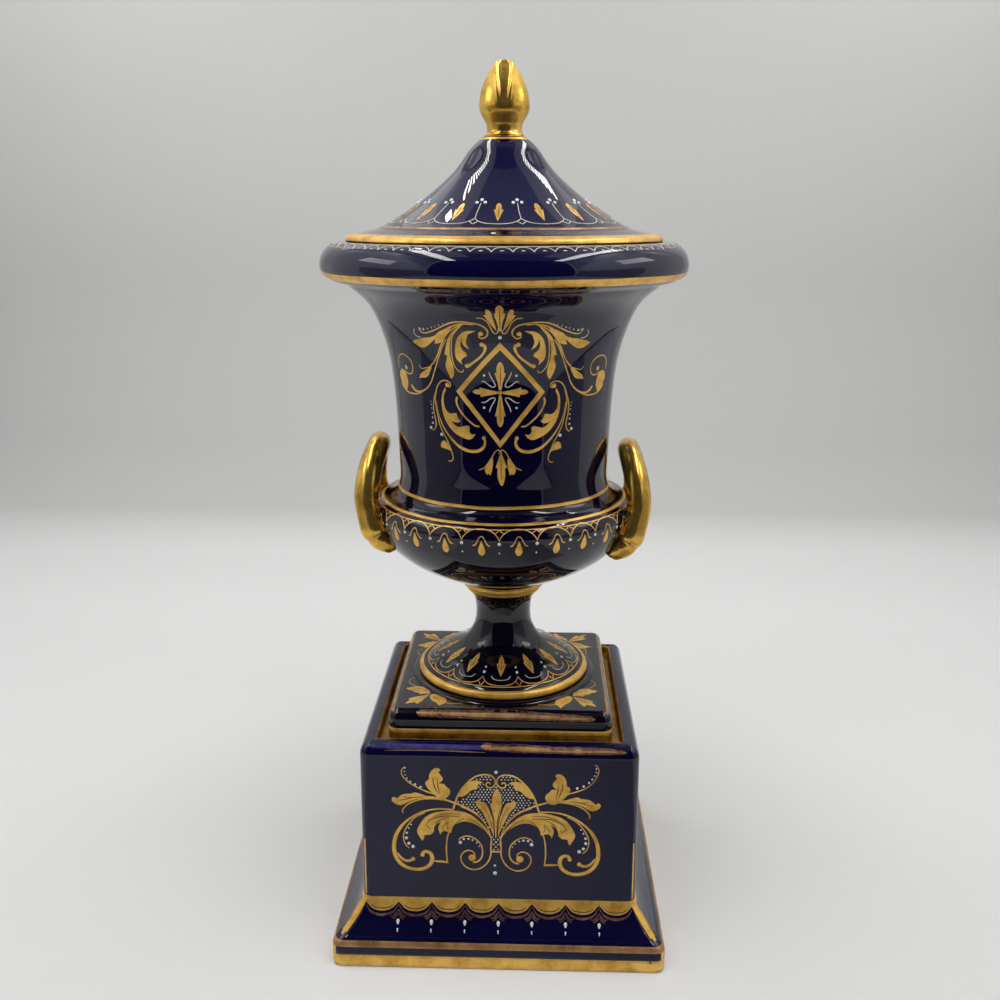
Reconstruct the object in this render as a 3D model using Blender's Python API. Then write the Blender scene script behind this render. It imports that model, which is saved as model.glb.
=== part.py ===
"""Covered mantel urn on its square plinth.

Three porcelain pieces, each a node of its own: the plinth, the campana urn that
stands in the plinth's recess, and the lid that rests on the urn's rim.
Frame: metres, +Z up, origin at the centre of the plinth's underside, front at -Y.
Profiles are (half width, height) pairs in millimetres.
"""
import math

import bmesh
import bpy
from mathutils import Vector

MM = 0.001
GAP = 0.3                     # clearance between pieces that rest on each other

# Plinth: half widths and heights
BASE_HALF = 38.67
BASE_EDGE_TOP = 5.4
SKIRT_FOOT_Z = 7.2
SKIRT_TOP_Z = 14.2
BOX_HALF_LOW = 32.05
BOX_HALF_HIGH = 31.9
PLINTH_TOP = 53.5
RIM_ROUND = 3.0               # soft outer roll of the rim around the recess
RIM_INNER_ROUND = 0.75
RECESS_HALF = 28.15
RECESS_FLOOR = 51.0
PLINTH_WALL = 4.0
RECESS_FLOOR_THICKNESS = 3.0
BASE_CORNER = 2.2             # corner radii in plan
BOX_CORNER = 2.2
RECESS_CORNER = 1.2
CORNER_STEPS = 3

# Urn: square foot plate
PLATE_HALF = 25.95
PLATE_TOP = 58.97
PLATE_EDGE_ROUND = 2.4
PLATE_CORNER = 2.4
PLATE_BOTTOM = RECESS_FLOOR + GAP

# Urn: turned parts
STEM_RADIUS = 6.7
STEM_Z = 75.2
BEAD_CENTRE = (19.9, 60.5)   # the gilt bead round the foot
BEAD_RADIUS = 1.05
COLLAR_RADIUS = 9.95
COLLAR_Z = 83.0
BOWL_RADIUS = 31.04
BOWL_WIDEST_Z = 101.4
WAIST_RADIUS = 24.9
WAIST_Z = 108.3
LIP_RADIUS = 41.7
LIP_WIDEST_Z = 158.4
RIM_Z = 163.7
RIM_OUTER = 36.7
MOUTH_RADIUS = 33.5

# Lid
LID_RADIUS = 36.4
LID_SEAT_Z = RIM_Z + GAP
LID_EDGE_THICKNESS = 1.35
FLANGE_RADIUS = 32.8
FLANGE_THICKNESS = 2.3
FLANGE_DEPTH = 4.4
LID_NECK = (3.75, 188.0)
BUD_RADIUS = 5.63
BUD_WIDEST_Z = 192.8
TOTAL_HEIGHT = 203.0

# Handles: two legs joined by a round arch, their lower ends tapering onto the bowl
LEG_Y = 10.5
LEG_X = 32.0
TOE_ANGLE = 2.5               # degrees that each handle faces towards the front
ARCH_SPRING_Z = 104.1
ARCH_RISE = 11.9
ARCH_LEAN = 2.2               # how far the top of the arch leans towards the body
HANDLE_RADIUS = 2.65
TERMINAL = (                  # distance from the body's axis, y, z and radius, tip first
    (25.2, 10.3, 93.2, 1.1),
    (28.4, 10.9, 94.8, 2.3),
    (30.4, 10.9, 97.7, 3.1),
    (31.3, 10.6, 101.0, 3.0),
)
ARCH_STEPS = 10
TUBE_RESOLUTION = 2           # a curve's bevel resolution: 8 sides

TURN_STEPS = 36


def clear_scene():
    for obj in list(bpy.data.objects):
        bpy.data.objects.remove(obj)


def through(points, steps):
    """Points along a smooth curve through the given ones, `steps` to a span."""
    points = [Vector(p) for p in points]
    before = [points[0] * 2 - points[1]]
    after = [points[-1] * 2 - points[-2]]
    guide = before + points + after
    curve = []
    for i in range(1, len(guide) - 2):
        a, b, c, d = guide[i - 1:i + 3]
        for step in range(steps):
            t = step / steps
            cubic = (d - a + (b - c) * 3) * t ** 3
            square = (a * 2 - b * 5 + c * 4 - d) * t ** 2
            curve.append(b + (cubic + square + (c - a) * t) / 2)
    curve.append(points[-1])
    return curve


def arc(centre, radius, start, end, steps):
    """Points on an arc, with its angles in degrees from the outward direction."""
    points = []
    for step in range(steps + 1):
        angle = math.radians(start + (end - start) * step / steps)
        points.append(Vector((centre[0] + radius * math.cos(angle),
                              centre[1] + radius * math.sin(angle))))
    return points


def glaze(name, colour, roughness, metallic=0.0):
    material = bpy.data.materials.new(name)
    material.use_nodes = True
    shader = material.node_tree.nodes["Principled BSDF"]
    shader.inputs["Base Color"].default_value = (*colour, 1.0)
    shader.inputs["Roughness"].default_value = roughness
    shader.inputs["Metallic"].default_value = metallic
    return material


def add_object(name, bm, material=None):
    """Turn a bmesh in millimetres into a smooth-shaded object in metres."""
    bmesh.ops.scale(bm, vec=(MM, MM, MM), verts=bm.verts)
    bmesh.ops.recalc_face_normals(bm, faces=bm.faces)
    mesh = bpy.data.meshes.new(name)
    bm.to_mesh(mesh)
    bm.free()
    mesh.shade_smooth()
    mesh.set_sharp_from_angle(angle=math.radians(35))
    if material:
        mesh.materials.append(material)
    obj = bpy.data.objects.new(name, mesh)
    bpy.context.scene.collection.objects.link(obj)
    return obj


def make_helper(obj):
    """A solid that is only joined to another one, and isn't a piece itself."""
    obj.hide_render = True
    obj.display_type = "WIRE"
    return obj


def unite(obj, other):
    modifier = obj.modifiers.new("Join " + other.name, "BOOLEAN")
    modifier.operation = "UNION"
    modifier.solver = "EXACT"
    modifier.object = other


def turned(profile):
    """A bmesh turned about Z from a profile whose two ends are on the axis."""
    bm = bmesh.new()
    verts = [bm.verts.new((radius, 0.0, height)) for radius, height in profile]
    edges = [bm.edges.new(pair) for pair in zip(verts, verts[1:])]
    bmesh.ops.spin(bm, geom=verts + edges, axis=(0, 0, 1), cent=(0, 0, 0),
                   angle=math.tau, steps=TURN_STEPS, use_merge=True)
    bmesh.ops.remove_doubles(bm, verts=bm.verts, dist=1e-4)
    return bm


def square_ring(bm, half, corner, height):
    """The vertices of a square with rounded corners, going round from +X +Y."""
    verts = []
    centre = half - corner
    for quarter in range(4):
        for step in range(CORNER_STEPS + 1):
            angle = math.radians(90 * (quarter + step / CORNER_STEPS))
            x = math.copysign(centre, math.cos(math.radians(90 * quarter + 45)))
            y = math.copysign(centre, math.sin(math.radians(90 * quarter + 45)))
            verts.append(bm.verts.new((x + corner * math.cos(angle),
                                       y + corner * math.sin(angle), height)))
    return verts


def stacked_squares(rings):
    """A bmesh of rounded squares joined in turn, closed by its first and last one."""
    bm = bmesh.new()
    loops = [square_ring(bm, *ring) for ring in rings]
    for low, high in zip(loops, loops[1:]):
        for i in range(len(low)):
            j = (i + 1) % len(low)
            bm.faces.new((low[i], low[j], high[j], high[i]))
    bm.faces.new(loops[0])
    bm.faces.new(loops[-1])
    return bm


def rolled_edge(half, corner, top, radius, steps):
    """Square rings of an outer edge that rolls over from the side to the top."""
    rings = []
    for point in arc((half - radius, top - radius), radius, 0, 90, steps):
        inset = half - point.x
        rings.append((point.x, max(corner - inset, 0.5), point.y))
    return rings


def build_plinth(material):
    ceiling = RECESS_FLOOR - RECESS_FLOOR_THICKNESS
    cavity_half = BOX_HALF_LOW - PLINTH_WALL
    cavity_foot = BASE_HALF - PLINTH_WALL
    cavity = [
        (cavity_half, BOX_CORNER, ceiling),
        (cavity_half, BOX_CORNER, SKIRT_TOP_Z - 0.6),
        (cavity_foot, BASE_CORNER, BASE_EDGE_TOP - 0.4),
        (cavity_foot, BASE_CORNER, 0.0),
    ]
    base_edge = [
        (BASE_HALF - 0.5, BASE_CORNER, 0.0),
        (BASE_HALF, BASE_CORNER, 0.6),
        (BASE_HALF, BASE_CORNER, BASE_EDGE_TOP),
        (BASE_HALF - 0.45, BASE_CORNER, BASE_EDGE_TOP + 1.1),
    ]
    skirt_run = through([
        (BASE_HALF - 1.5, SKIRT_FOOT_Z),
        (BASE_HALF - 4.5, 10.4),
        (BOX_HALF_LOW, SKIRT_TOP_Z),
    ], 2)
    skirt = [(half, BASE_CORNER, height) for half, height in skirt_run]
    rim = rolled_edge(BOX_HALF_HIGH, BOX_CORNER, PLINTH_TOP, RIM_ROUND, 5)
    inner_centre = (RECESS_HALF + RIM_INNER_ROUND, PLINTH_TOP - RIM_INNER_ROUND)
    inner_run = arc(inner_centre, RIM_INNER_ROUND, 110, 180, 2)
    recess = [(half, RECESS_CORNER, height) for half, height in inner_run]
    recess += [
        (RECESS_HALF, RECESS_CORNER, RECESS_FLOOR + 0.4),
        (RECESS_HALF - 0.4, RECESS_CORNER, RECESS_FLOOR),
    ]
    bm = stacked_squares(cavity + base_edge + skirt + rim + recess)
    return add_object("plinth", bm, material)


def urn_outside():
    """The turned outside of the urn, from inside the foot plate up to the rim."""
    foot = [Vector((0.0, PLATE_TOP - 0.8)), Vector((22.4, PLATE_TOP - 0.8))]
    step = [Vector((22.4, PLATE_TOP + 0.1)), Vector((21.6, PLATE_TOP + 0.4)),
            Vector((20.7, PLATE_TOP + 0.6))]
    bead = arc(BEAD_CENTRE, BEAD_RADIUS, -50, 110, 4)
    stem = through([
        (19.2, 61.75),
        (15.1, 64.5),
        (9.8, 67.4),
        (7.25, 71.2),
        (STEM_RADIUS, STEM_Z),
        (7.3, 78.6),
        (9.1, 81.0),
    ], 2)
    collar = [Vector((COLLAR_RADIUS, COLLAR_Z - 0.6)), Vector((COLLAR_RADIUS, COLLAR_Z))]
    bowl = through([
        (9.2, 83.45),
        (15.2, 85.5),
        (21.7, 88.7),
        (26.6, 92.4),
        (29.7, 96.8),
        (BOWL_RADIUS, BOWL_WIDEST_Z),
        (30.6, 103.3),
    ], 2)
    shoulder = [Vector((29.5, 104.55)), Vector((27.4, 105.4)), Vector((25.8, 106.4))]
    wall = through([
        (WAIST_RADIUS, WAIST_Z),
        (24.8, 114.0),
        (25.5, 128.5),
        (27.0, 139.6),
        (30.7, 149.3),
        (36.2, 154.7),
    ], 2)
    lip = through([
        (39.3, 155.4),
        (41.1, 156.7),
        (LIP_RADIUS, LIP_WIDEST_Z),
        (41.1, 161.2),
        (39.3, 163.0),
        (RIM_OUTER, RIM_Z),
    ], 2)
    return foot + step + bead + stem + collar + bowl + shoulder + wall + lip


def urn_inside():
    """The turned inside of the urn, from the mouth down to the middle of its floor."""
    neck = through([
        (MOUTH_RADIUS, RIM_Z),
        (33.4, 157.6),
        (27.3, 148.6),
        (23.6, 136.5),
        (21.8, 118.0),
        (21.7, 108.0),
    ], 1)
    bowl = through([
        (26.4, 104.0),
        (27.8, 100.0),
        (25.6, 94.9),
        (19.0, 90.6),
        (9.6, 87.9),
        (0.0, 87.2),
    ], 1)
    return neck + bowl


def build_foot_plate():
    rings = [(PLATE_HALF - 0.5, PLATE_CORNER - 0.5, PLATE_BOTTOM),
             (PLATE_HALF, PLATE_CORNER, PLATE_BOTTOM + 0.5)]
    rings += rolled_edge(PLATE_HALF, PLATE_CORNER, PLATE_TOP, PLATE_EDGE_ROUND, 4)
    return make_helper(add_object("foot_plate_form", stacked_squares(rings)))


def handle_path():
    """Points and radii from the front terminal, over the arch, to the back one."""
    front = [(x, -y, z, radius) for x, y, z, radius in TERMINAL]
    arch = []
    for step in range(ARCH_STEPS + 1):
        angle = math.pi * step / ARCH_STEPS
        rise = math.sin(angle)
        arch.append((LEG_X - ARCH_LEAN * rise ** 2, -LEG_Y * math.cos(angle),
                     ARCH_SPRING_Z + ARCH_RISE * rise, HANDLE_RADIUS))
    back = [(x, y, z, radius) for x, y, z, radius in reversed(TERMINAL)]
    smooth_front = through(front + arch[:1], 2)
    smooth_back = through(arch[-1:] + back, 2)
    path = smooth_front + [Vector(p) for p in arch[1:-1]] + smooth_back
    for point in path:
        point.x += point.y * math.tan(math.radians(TOE_ANGLE))
    return path


def build_handle(side):
    """One handle; side is 1 at +X and -1 at -X."""
    name = "handle_form_right" if side > 0 else "handle_form_left"
    curve = bpy.data.curves.new(name, "CURVE")
    curve.dimensions = "3D"
    curve.bevel_depth = 1.0
    curve.bevel_resolution = TUBE_RESOLUTION
    curve.use_fill_caps = True
    path = handle_path()
    spline = curve.splines.new("POLY")
    spline.points.add(len(path) - 1)
    for point, (x, y, z, radius) in zip(spline.points, path):
        point.co = (side * x, y, z, 1.0)
        point.radius = radius
    guide = bpy.data.objects.new(name + "_curve", curve)
    bpy.context.scene.collection.objects.link(guide)
    bpy.context.view_layer.update()
    bm = bmesh.new()
    bm.from_mesh(guide.to_mesh())
    bpy.data.objects.remove(guide)
    bmesh.ops.remove_doubles(bm, verts=bm.verts, dist=1e-4)
    return make_helper(add_object(name, bm))


def build_urn(material):
    urn = add_object("urn", turned(urn_outside() + urn_inside()), material)
    unite(urn, build_foot_plate())
    for side in (-1, 1):
        unite(urn, build_handle(side))
    return urn


def build_lid(material):
    edge_top = LID_SEAT_Z + LID_EDGE_THICKNESS
    flange_bottom = LID_SEAT_Z - FLANGE_DEPTH
    flange_inner = FLANGE_RADIUS - FLANGE_THICKNESS
    inside = through([
        (0.0, 183.4),
        (4.6, 182.0),
        (9.4, 177.2),
        (15.4, 171.2),
        (22.0, 166.4),
        (29.2, 163.4),
    ], 1)
    flange = [Vector((flange_inner, 162.2)), Vector((flange_inner, flange_bottom)),
              Vector((FLANGE_RADIUS, flange_bottom)), Vector((FLANGE_RADIUS, LID_SEAT_Z))]
    edge = [Vector((LID_RADIUS, LID_SEAT_Z)), Vector((LID_RADIUS, edge_top - 0.4)),
            Vector((LID_RADIUS - 0.5, edge_top)), Vector((34.8, edge_top + 0.05))]
    cone = through([
        (31.0, 166.0),
        (27.3, 167.2),
        (19.7, 171.9),
        (11.9, 178.3),
        (7.6, 183.7),
        (4.6, 186.6),
        LID_NECK,
    ], 2)
    bud = through([
        (4.65, 190.1),
        (BUD_RADIUS, BUD_WIDEST_Z),
        (5.3, 195.5),
        (4.0, 199.0),
        (1.9, 202.0),
        (0.0, TOTAL_HEIGHT),
    ], 2)
    return add_object("lid", turned(inside + flange + edge + cone + bud), material)


def main():
    clear_scene()
    cobalt = (0.012, 0.010, 0.055)
    build_plinth(glaze("plinth_glaze", cobalt, 0.12))
    build_urn(glaze("urn_glaze", cobalt, 0.08))
    build_lid(glaze("lid_glaze", cobalt, 0.08))


main()
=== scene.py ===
"""Covered mantel urn: the porcelain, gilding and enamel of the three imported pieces.

Lengths are millimetres, except metres in the materials and the studio. The front faces -Y.
Ornament is drawn flat, as (along, up) pairs, and laid on the surface it decorates.
"""
import math
from bisect import bisect_right

import bmesh
import bpy
from mathutils import Matrix, Vector, noise
from mathutils.geometry import delaunay_2d_cdt


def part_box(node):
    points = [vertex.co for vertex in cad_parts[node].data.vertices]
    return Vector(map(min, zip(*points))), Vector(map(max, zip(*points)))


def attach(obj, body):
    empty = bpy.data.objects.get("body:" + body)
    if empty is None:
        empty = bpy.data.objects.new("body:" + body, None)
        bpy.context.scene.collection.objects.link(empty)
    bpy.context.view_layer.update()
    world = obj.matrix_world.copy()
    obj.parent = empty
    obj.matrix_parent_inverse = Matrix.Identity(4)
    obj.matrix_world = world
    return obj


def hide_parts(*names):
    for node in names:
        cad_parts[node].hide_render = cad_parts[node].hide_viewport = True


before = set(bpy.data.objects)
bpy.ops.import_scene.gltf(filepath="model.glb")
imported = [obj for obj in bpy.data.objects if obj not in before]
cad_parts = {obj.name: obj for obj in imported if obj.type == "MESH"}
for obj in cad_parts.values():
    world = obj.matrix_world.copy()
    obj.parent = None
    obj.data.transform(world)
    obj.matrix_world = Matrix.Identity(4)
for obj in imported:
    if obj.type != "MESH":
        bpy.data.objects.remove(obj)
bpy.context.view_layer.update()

MM = 0.001
SINK = 0.03                   # how far a painted shape reaches into the glaze
SIDES = 192                   # flat sides of a turned piece
DRAWN_STEPS = 6               # steps to a span of a drawn curve
STROKE_PITCH = 0.42           # how far apart a stroke's steps are
LEAF_BEVEL = 0.45             # how far from its edge a painted leaf is at its full height
ROUND_BEVEL = 0.25            # how much of a column a band's edge slopes over
SQUARE_BEVEL = 0.2            # the same for a band round a square
CORNER_STEPS, EDGE_STEPS = 8, 10    # steps round a square's corner and along its edge
QUARTER = CORNER_STEPS + EDGE_STEPS

# material indices of the gilding, of the enamel and of the porcelain pieces
GOLD, COPPER, SHADE, SHEEN, RECESS_SHADE, HAZE = range(6)
WHITE, PALE = range(2)
GLAZE, GILT, BISQUE = range(3)

# ---------------------------------------------------------------- curves


def through(points, steps):
    """Points along a smooth curve through the given ones, `steps` to a span."""
    points = [Vector(p) for p in points]
    guide = [points[0] * 2 - points[1]] + points + [points[-1] * 2 - points[-2]]
    curve = []
    for i in range(1, len(guide) - 2):
        a, b, c, d = guide[i - 1:i + 3]
        for step in range(steps):
            t = step / steps
            cubic = (d - a + (b - c) * 3) * t ** 3
            square = (a * 2 - b * 5 + c * 4 - d) * t ** 2
            curve.append(b + (cubic + square + (c - a) * t) / 2)
    return curve + [points[-1]]


def arc(centre, radius, start, end, steps):
    """Points on an arc, with its angles in degrees from the outward direction."""
    points = []
    for step in range(steps + 1):
        angle = math.radians(start + (end - start) * step / steps)
        points.append(Vector((centre[0] + radius * math.cos(angle),
                              centre[1] + radius * math.sin(angle))))
    return points


def run_lengths(curve):
    """The length of a curve from its start to each of its points."""
    runs = [0.0]
    for a, b in zip(curve, curve[1:]):
        runs.append(runs[-1] + (b - a).length)
    return runs


def evenly(curve, pitch):
    """The same curve with its points about `pitch` apart."""
    runs = run_lengths(curve)
    count = max(2, round(runs[-1] / pitch))
    result = []
    k = 0
    for i in range(count + 1):
        target = runs[-1] * i / count
        while k < len(curve) - 2 and runs[k + 1] < target:
            k += 1
        span = max(runs[k + 1] - runs[k], 1e-9)
        result.append(curve[k].lerp(curve[k + 1], min(1.0, (target - runs[k]) / span)))
    return result


def closed_outline(points, pitch):
    """A closed outline; a point with a third value is a sharp corner."""
    corners = [i for i, p in enumerate(points) if len(p) > 2]
    flat = [Vector(p[:2]) for p in points]
    if not corners:
        curve = through(flat[-2:] + flat + flat[:3], DRAWN_STEPS)
        return evenly(curve[2 * DRAWN_STEPS:-2 * DRAWN_STEPS], pitch)[:-1]
    flat = flat[corners[0]:] + flat[:corners[0]] + [flat[corners[0]]]
    corners = [c - corners[0] for c in corners] + [len(flat) - 1]
    ring = []
    for a, b in zip(corners, corners[1:]):
        ring += evenly(through(flat[a:b + 1], DRAWN_STEPS), pitch)[:-1]
    return ring


def spread(values, t):
    """The value at t, from 0 to 1, of control values spaced evenly."""
    if isinstance(values, (int, float)):
        return values
    place = t * (len(values) - 1)
    i = min(int(place), len(values) - 2)
    return values[i] + (values[i + 1] - values[i]) * (place - i)


def inside(point, ring):
    """Whether a flat point lies inside a ring."""
    found = False
    for a, b in zip(ring, ring[1:] + ring[:1]):
        if (a[1] > point[1]) != (b[1] > point[1]):
            cross = a[0] + (point[1] - a[1]) / (b[1] - a[1]) * (b[0] - a[0])
            if point[0] < cross:
                found = not found
    return found


def edge_distance(point, ring):
    """How far a flat point is from a ring's edge."""
    best = 1e9
    for a, b in zip(ring, ring[1:] + ring[:1]):
        ab = b - a
        t = max(0.0, min(1.0, (point - a).dot(ab) / max(ab.length_squared, 1e-12)))
        best = min(best, (a + ab * t - point).length)
    return best


def mirrored(middle, half):
    """Points (distance out from the middle, v) on the left, then in reverse on the right."""
    return ([(middle - p[0], *p[1:]) for p in half]
            + [(middle + p[0], *p[1:]) for p in reversed(half) if p[0]])


def swag(start, end, half, middle):
    """A line from start to end: points (distance in from each, v) and the middle one."""
    return ([(start + d, v) for d, v in half] + [middle]
            + [(end - d, v) for d, v in reversed(half)])

# ---------------------------------------------------------------- surfaces


class Turned:
    """A turned surface: u runs round it, v up its profile or, by default, its height."""

    def __init__(self, profile, radius=1.0, start_z=None, spin=0.0):
        self.points = [Vector(p[:2]) for p in profile]
        self.radius = radius
        self.spin = math.radians(spin)
        if start_z is None:
            self.runs = [p.y for p in self.points]
            return
        nearest = min(range(len(self.points)), key=lambda i: abs(self.points[i].y - start_z))
        runs = run_lengths(self.points)
        self.runs = [run - runs[nearest] for run in runs]

    def section(self, v):
        """The profile's point and outward normal at v."""
        low = max(0, min(bisect_right(self.runs, v) - 1, len(self.runs) - 2))
        a, b = self.points[low:low + 2]
        t = (v - self.runs[low]) / max(self.runs[low + 1] - self.runs[low], 1e-9)
        along = (b - a).normalized()
        return a.lerp(b, t), Vector((along.y, -along.x))

    def at(self, u, v, lift=0.0):
        """The place in space of a flat point, `lift` proud of the surface."""
        point, normal = self.section(v)
        angle = u / self.radius + self.spin
        r = point.x + normal.x * lift
        return Vector((r * math.sin(angle), -r * math.cos(angle), point.y + normal.y * lift))


class Side:
    """One of four sides: u runs along it and v is the height, raised by rise and tilted."""

    def __init__(self, profile, side, rise=0.0, slope=0.0):
        self.section = Turned(profile).section
        self.rise, self.slope = rise, slope
        self.turn = Matrix.Rotation(math.radians(90 * side), 3, "Z")

    def at(self, u, v, lift=0.0):
        point, normal = self.section(v + self.rise + self.slope * u)
        flat = Vector((u, -(point.x + normal.x * lift), point.y + normal.y * lift))
        return self.turn @ flat


class Top:
    """A level surface at a height, turned by quarters."""

    def __init__(self, height, quarter=0, flip=1):
        self.height, self.flip = height, flip
        self.turn = Matrix.Rotation(math.radians(90 * quarter), 3, "Z")

    def at(self, u, v, lift=0.0):
        return self.turn @ Vector((u * self.flip, v, self.height + lift))

# ---------------------------------------------------------------- shapes


def tube(rows, size, closed=False, flipped=False):
    """Faces between rows of `size` points, where each row is a ring."""
    faces = []
    for i in range(rows if closed else rows - 1):
        j = (i + 1) % rows
        for k in range(size):
            m = (k + 1) % size
            quad = (i * size + k, j * size + k, j * size + m, i * size + m)
            faces.append(quad[:1] + quad[:0:-1] if flipped else quad)
    return faces


def band_section(low, high, lift, columns, bevel):
    """(run, rise) of the points across a band, from edge to edge."""
    flat = [(low + (high - low) * (k + bevel) / (columns + 2 * bevel), lift)
            for k in range(columns + 1)]
    return [(low, -SINK)] + flat + [(high, -SINK)]


def rolled_corner(corner, widest, half):
    """The corner radius of a square that has rolled inward from its widest half width."""
    return max(0.5, corner - max(0.0, widest - half))


def square_path(half, corner, edge_steps=0):
    """(point, outward direction) round a square with rounded corners, from +X +Y."""
    path = []
    centre = half - corner
    for quarter in range(4):
        middle = math.radians(90 * quarter + 45)
        x = math.copysign(centre, math.cos(middle))
        y = math.copysign(centre, math.sin(middle))
        for step in range(CORNER_STEPS + 1):
            angle = math.radians(90 * (quarter + step / CORNER_STEPS))
            outward = Vector((math.cos(angle), math.sin(angle)))
            path.append((Vector((x, y)) + outward * corner, outward))
        along = Vector((-outward.y, outward.x))
        start = path[-1][0]
        for step in range(1, edge_steps):
            path.append((start + along * (2 * centre * step / edge_steps), outward))
    return path


def corner_spans(reach):
    """Parts of the way round a square: `reach` steps to each side of each corner's middle."""
    middles = [QUARTER * quarter + CORNER_STEPS // 2 for quarter in range(4)]
    return [(middle - reach, middle + reach) for middle in middles]


class Shape:
    """The vertices and faces of one piece, with a material index for each face."""

    def __init__(self):
        self.verts, self.faces, self.kinds = [], [], []

    def add(self, verts, faces, kinds):
        base = len(self.verts)
        self.verts += verts
        self.faces += [tuple(base + i for i in face) for face in faces]
        self.kinds += kinds if isinstance(kinds, list) else [kinds] * len(faces)

    def make(self, name, node, materials, slot, sharp=40):
        """The object, set on the height of the node it belongs to."""
        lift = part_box(node)[0].z / MM - NODE_FOOT[node]
        mesh = bpy.data.meshes.new(name)
        mesh.from_pydata([(p[0] * MM, p[1] * MM, (p[2] + lift) * MM) for p in self.verts],
                         [], self.faces)
        mesh.polygons.foreach_set("material_index", self.kinds)
        for finish in materials:
            mesh.materials.append(finish)
        bm = bmesh.new()
        bm.from_mesh(mesh)
        bmesh.ops.recalc_face_normals(bm, faces=bm.faces)
        bm.to_mesh(mesh)
        bm.free()
        mesh.shade_smooth()
        mesh.set_sharp_from_angle(angle=math.radians(sharp))
        obj = bpy.data.objects.new(name, mesh)
        bpy.context.scene.collection.objects.link(obj)
        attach(obj, "root")
        return obj

    def stroke(self, surface, points, width=0.35, kind=GOLD, lift=0.05):
        """A painted line through flat points, of even or changing width."""
        curve = evenly(through(points, DRAWN_STEPS), STROKE_PITCH)
        last = len(curve) - 1
        verts = []
        for i, p in enumerate(curve):
            w = spread(width, i / last) * (0.6 if i in (0, last) else 1.0)
            along = (curve[min(i + 1, last)] - curve[max(i - 1, 0)]).normalized()
            across = Vector((-along.y, along.x)) * w
            for offset, rise in ((-0.5, -SINK), (-0.36, lift), (0.36, lift), (0.5, -SINK)):
                q = p + across * offset
                verts.append(surface.at(q.x, q.y, rise))
        ends = [(0, 1, 2, 3), tuple(4 * last + k for k in (3, 2, 1, 0))]
        self.add(verts, ends + tube(last + 1, 4), kind)

    def leaf(self, surface, outline, kind=GOLD, lift=0.08, pitch=0.45, grid=0.8):
        """A painted shape filled inside its outline, a little proud in its middle."""
        ring = closed_outline(outline, pitch)
        inner = []
        xs = [p.x for p in ring]
        ys = [p.y for p in ring]
        for i in range(int((max(xs) - min(xs)) / grid) + 1):
            for j in range(int((max(ys) - min(ys)) / grid) + 1):
                p = Vector((min(xs) + (i + 0.5 * (j % 2)) * grid, min(ys) + j * grid))
                if inside(p, ring) and edge_distance(p, ring) > 0.3 * grid:
                    inner.append(p)
        loop = list(range(len(ring)))
        flat, _, tris, _, _, _ = delaunay_2d_cdt(ring + inner, [], [loop], 1, 1e-5)
        count = len(flat)
        verts = []
        for p in flat:
            proud = min(1.0, edge_distance(p, ring) / LEAF_BEVEL)
            verts.append(surface.at(p.x, p.y, lift * (0.5 + 0.5 * proud)))
        verts += [surface.at(p.x, p.y, -SINK) for p in flat]
        borders = {}
        for tri in tris:
            for a, b in zip(tri, tri[1:] + tri[:1]):
                if (b, a) in borders:
                    del borders[(b, a)]
                else:
                    borders[(a, b)] = True
        faces = [tuple(tri) for tri in tris]
        faces += [tuple(count + i for i in reversed(tri)) for tri in tris]
        faces += [(b, a, count + a, count + b) for a, b in borders]
        self.add(verts, faces, kind)

    def streak(self, surface, points, widths, kind, lift):
        """A broad streak with rounded ends, laid close on a curved surface: worn gilding, and a
        painted sheen on the plinth's front.
        """
        curve = evenly(through(points, DRAWN_STEPS), 0.9)
        last = len(curve) - 1
        near, far = [], []
        for i, p in enumerate(curve[1:-1], 1):
            ragged = 1.0 + 0.22 * noise.noise(Vector((p.x * 0.9, p.y, 3.0)))
            along = (curve[i + 1] - curve[i - 1]).normalized()
            across = Vector((-along.y, along.x)) * (spread(widths, i / last) * ragged) / 2
            near.append(p + across)
            far.append(p - across)
        self.leaf(surface, [curve[0]] + near + [curve[-1]] + far[::-1], kind, lift, 0.4, 0.3)

    def bead(self, surface, u, v, size, kind=WHITE, height=0.3, sides=10):
        """A dot of enamel."""
        verts = []
        for reach, rise in ((0.5, -SINK), (0.48, 0.45 * height * size),
                            (0.3, 0.85 * height * size)):
            for k in range(sides):
                angle = math.tau * k / sides
                verts.append(surface.at(u + reach * size * math.cos(angle),
                                        v + reach * size * math.sin(angle), rise))
        top = len(verts)
        verts.append(surface.at(u, v, height * size))
        faces = [tuple(range(sides))[::-1]] + tube(3, sides, flipped=True)
        faces += [(2 * sides + k, 2 * sides + (k + 1) % sides, top) for k in range(sides)]
        self.add(verts, faces, kind)

    def band(self, surface, low, high, kind=GOLD, lift=0.05, columns=2, wobble=0.04, seed=0.0):
        """A painted band all the way round a turned surface."""
        section = band_section(low, high, lift, columns, ROUND_BEVEL)
        verts = []
        for i in range(SIDES):
            u = math.tau * surface.radius * i / SIDES
            shift = wobble * (math.sin(i * 0.19 + seed) + math.sin(i * 0.43 + 2 * seed)) / 2
            verts += [surface.at(u, v + shift, rise) for v, rise in section]
        self.add(verts, tube(SIDES, len(section), closed=True), kind)

    def lathe(self, profile, kind_of_row=lambda row: GLAZE, warp=lambda r, z, angle: (r, z)):
        """A closed turned form; the profile's ends are on the axis."""
        verts, rows = [], []
        for x, z in (Vector(p) for p in profile):
            if x < 1e-6:
                rows.append([len(verts)] * SIDES)
                verts.append(Vector((0.0, 0.0, z)))
                continue
            rows.append([len(verts) + i for i in range(SIDES)])
            for i in range(SIDES):
                angle = math.tau * i / SIDES
                r, high = warp(x, z, angle)
                verts.append(Vector((r * math.sin(angle), -r * math.cos(angle), high)))
        faces, kinds = [], []
        for k, (row, above) in enumerate(zip(rows, rows[1:])):
            for i in range(SIDES):
                j = (i + 1) % SIDES
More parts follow.
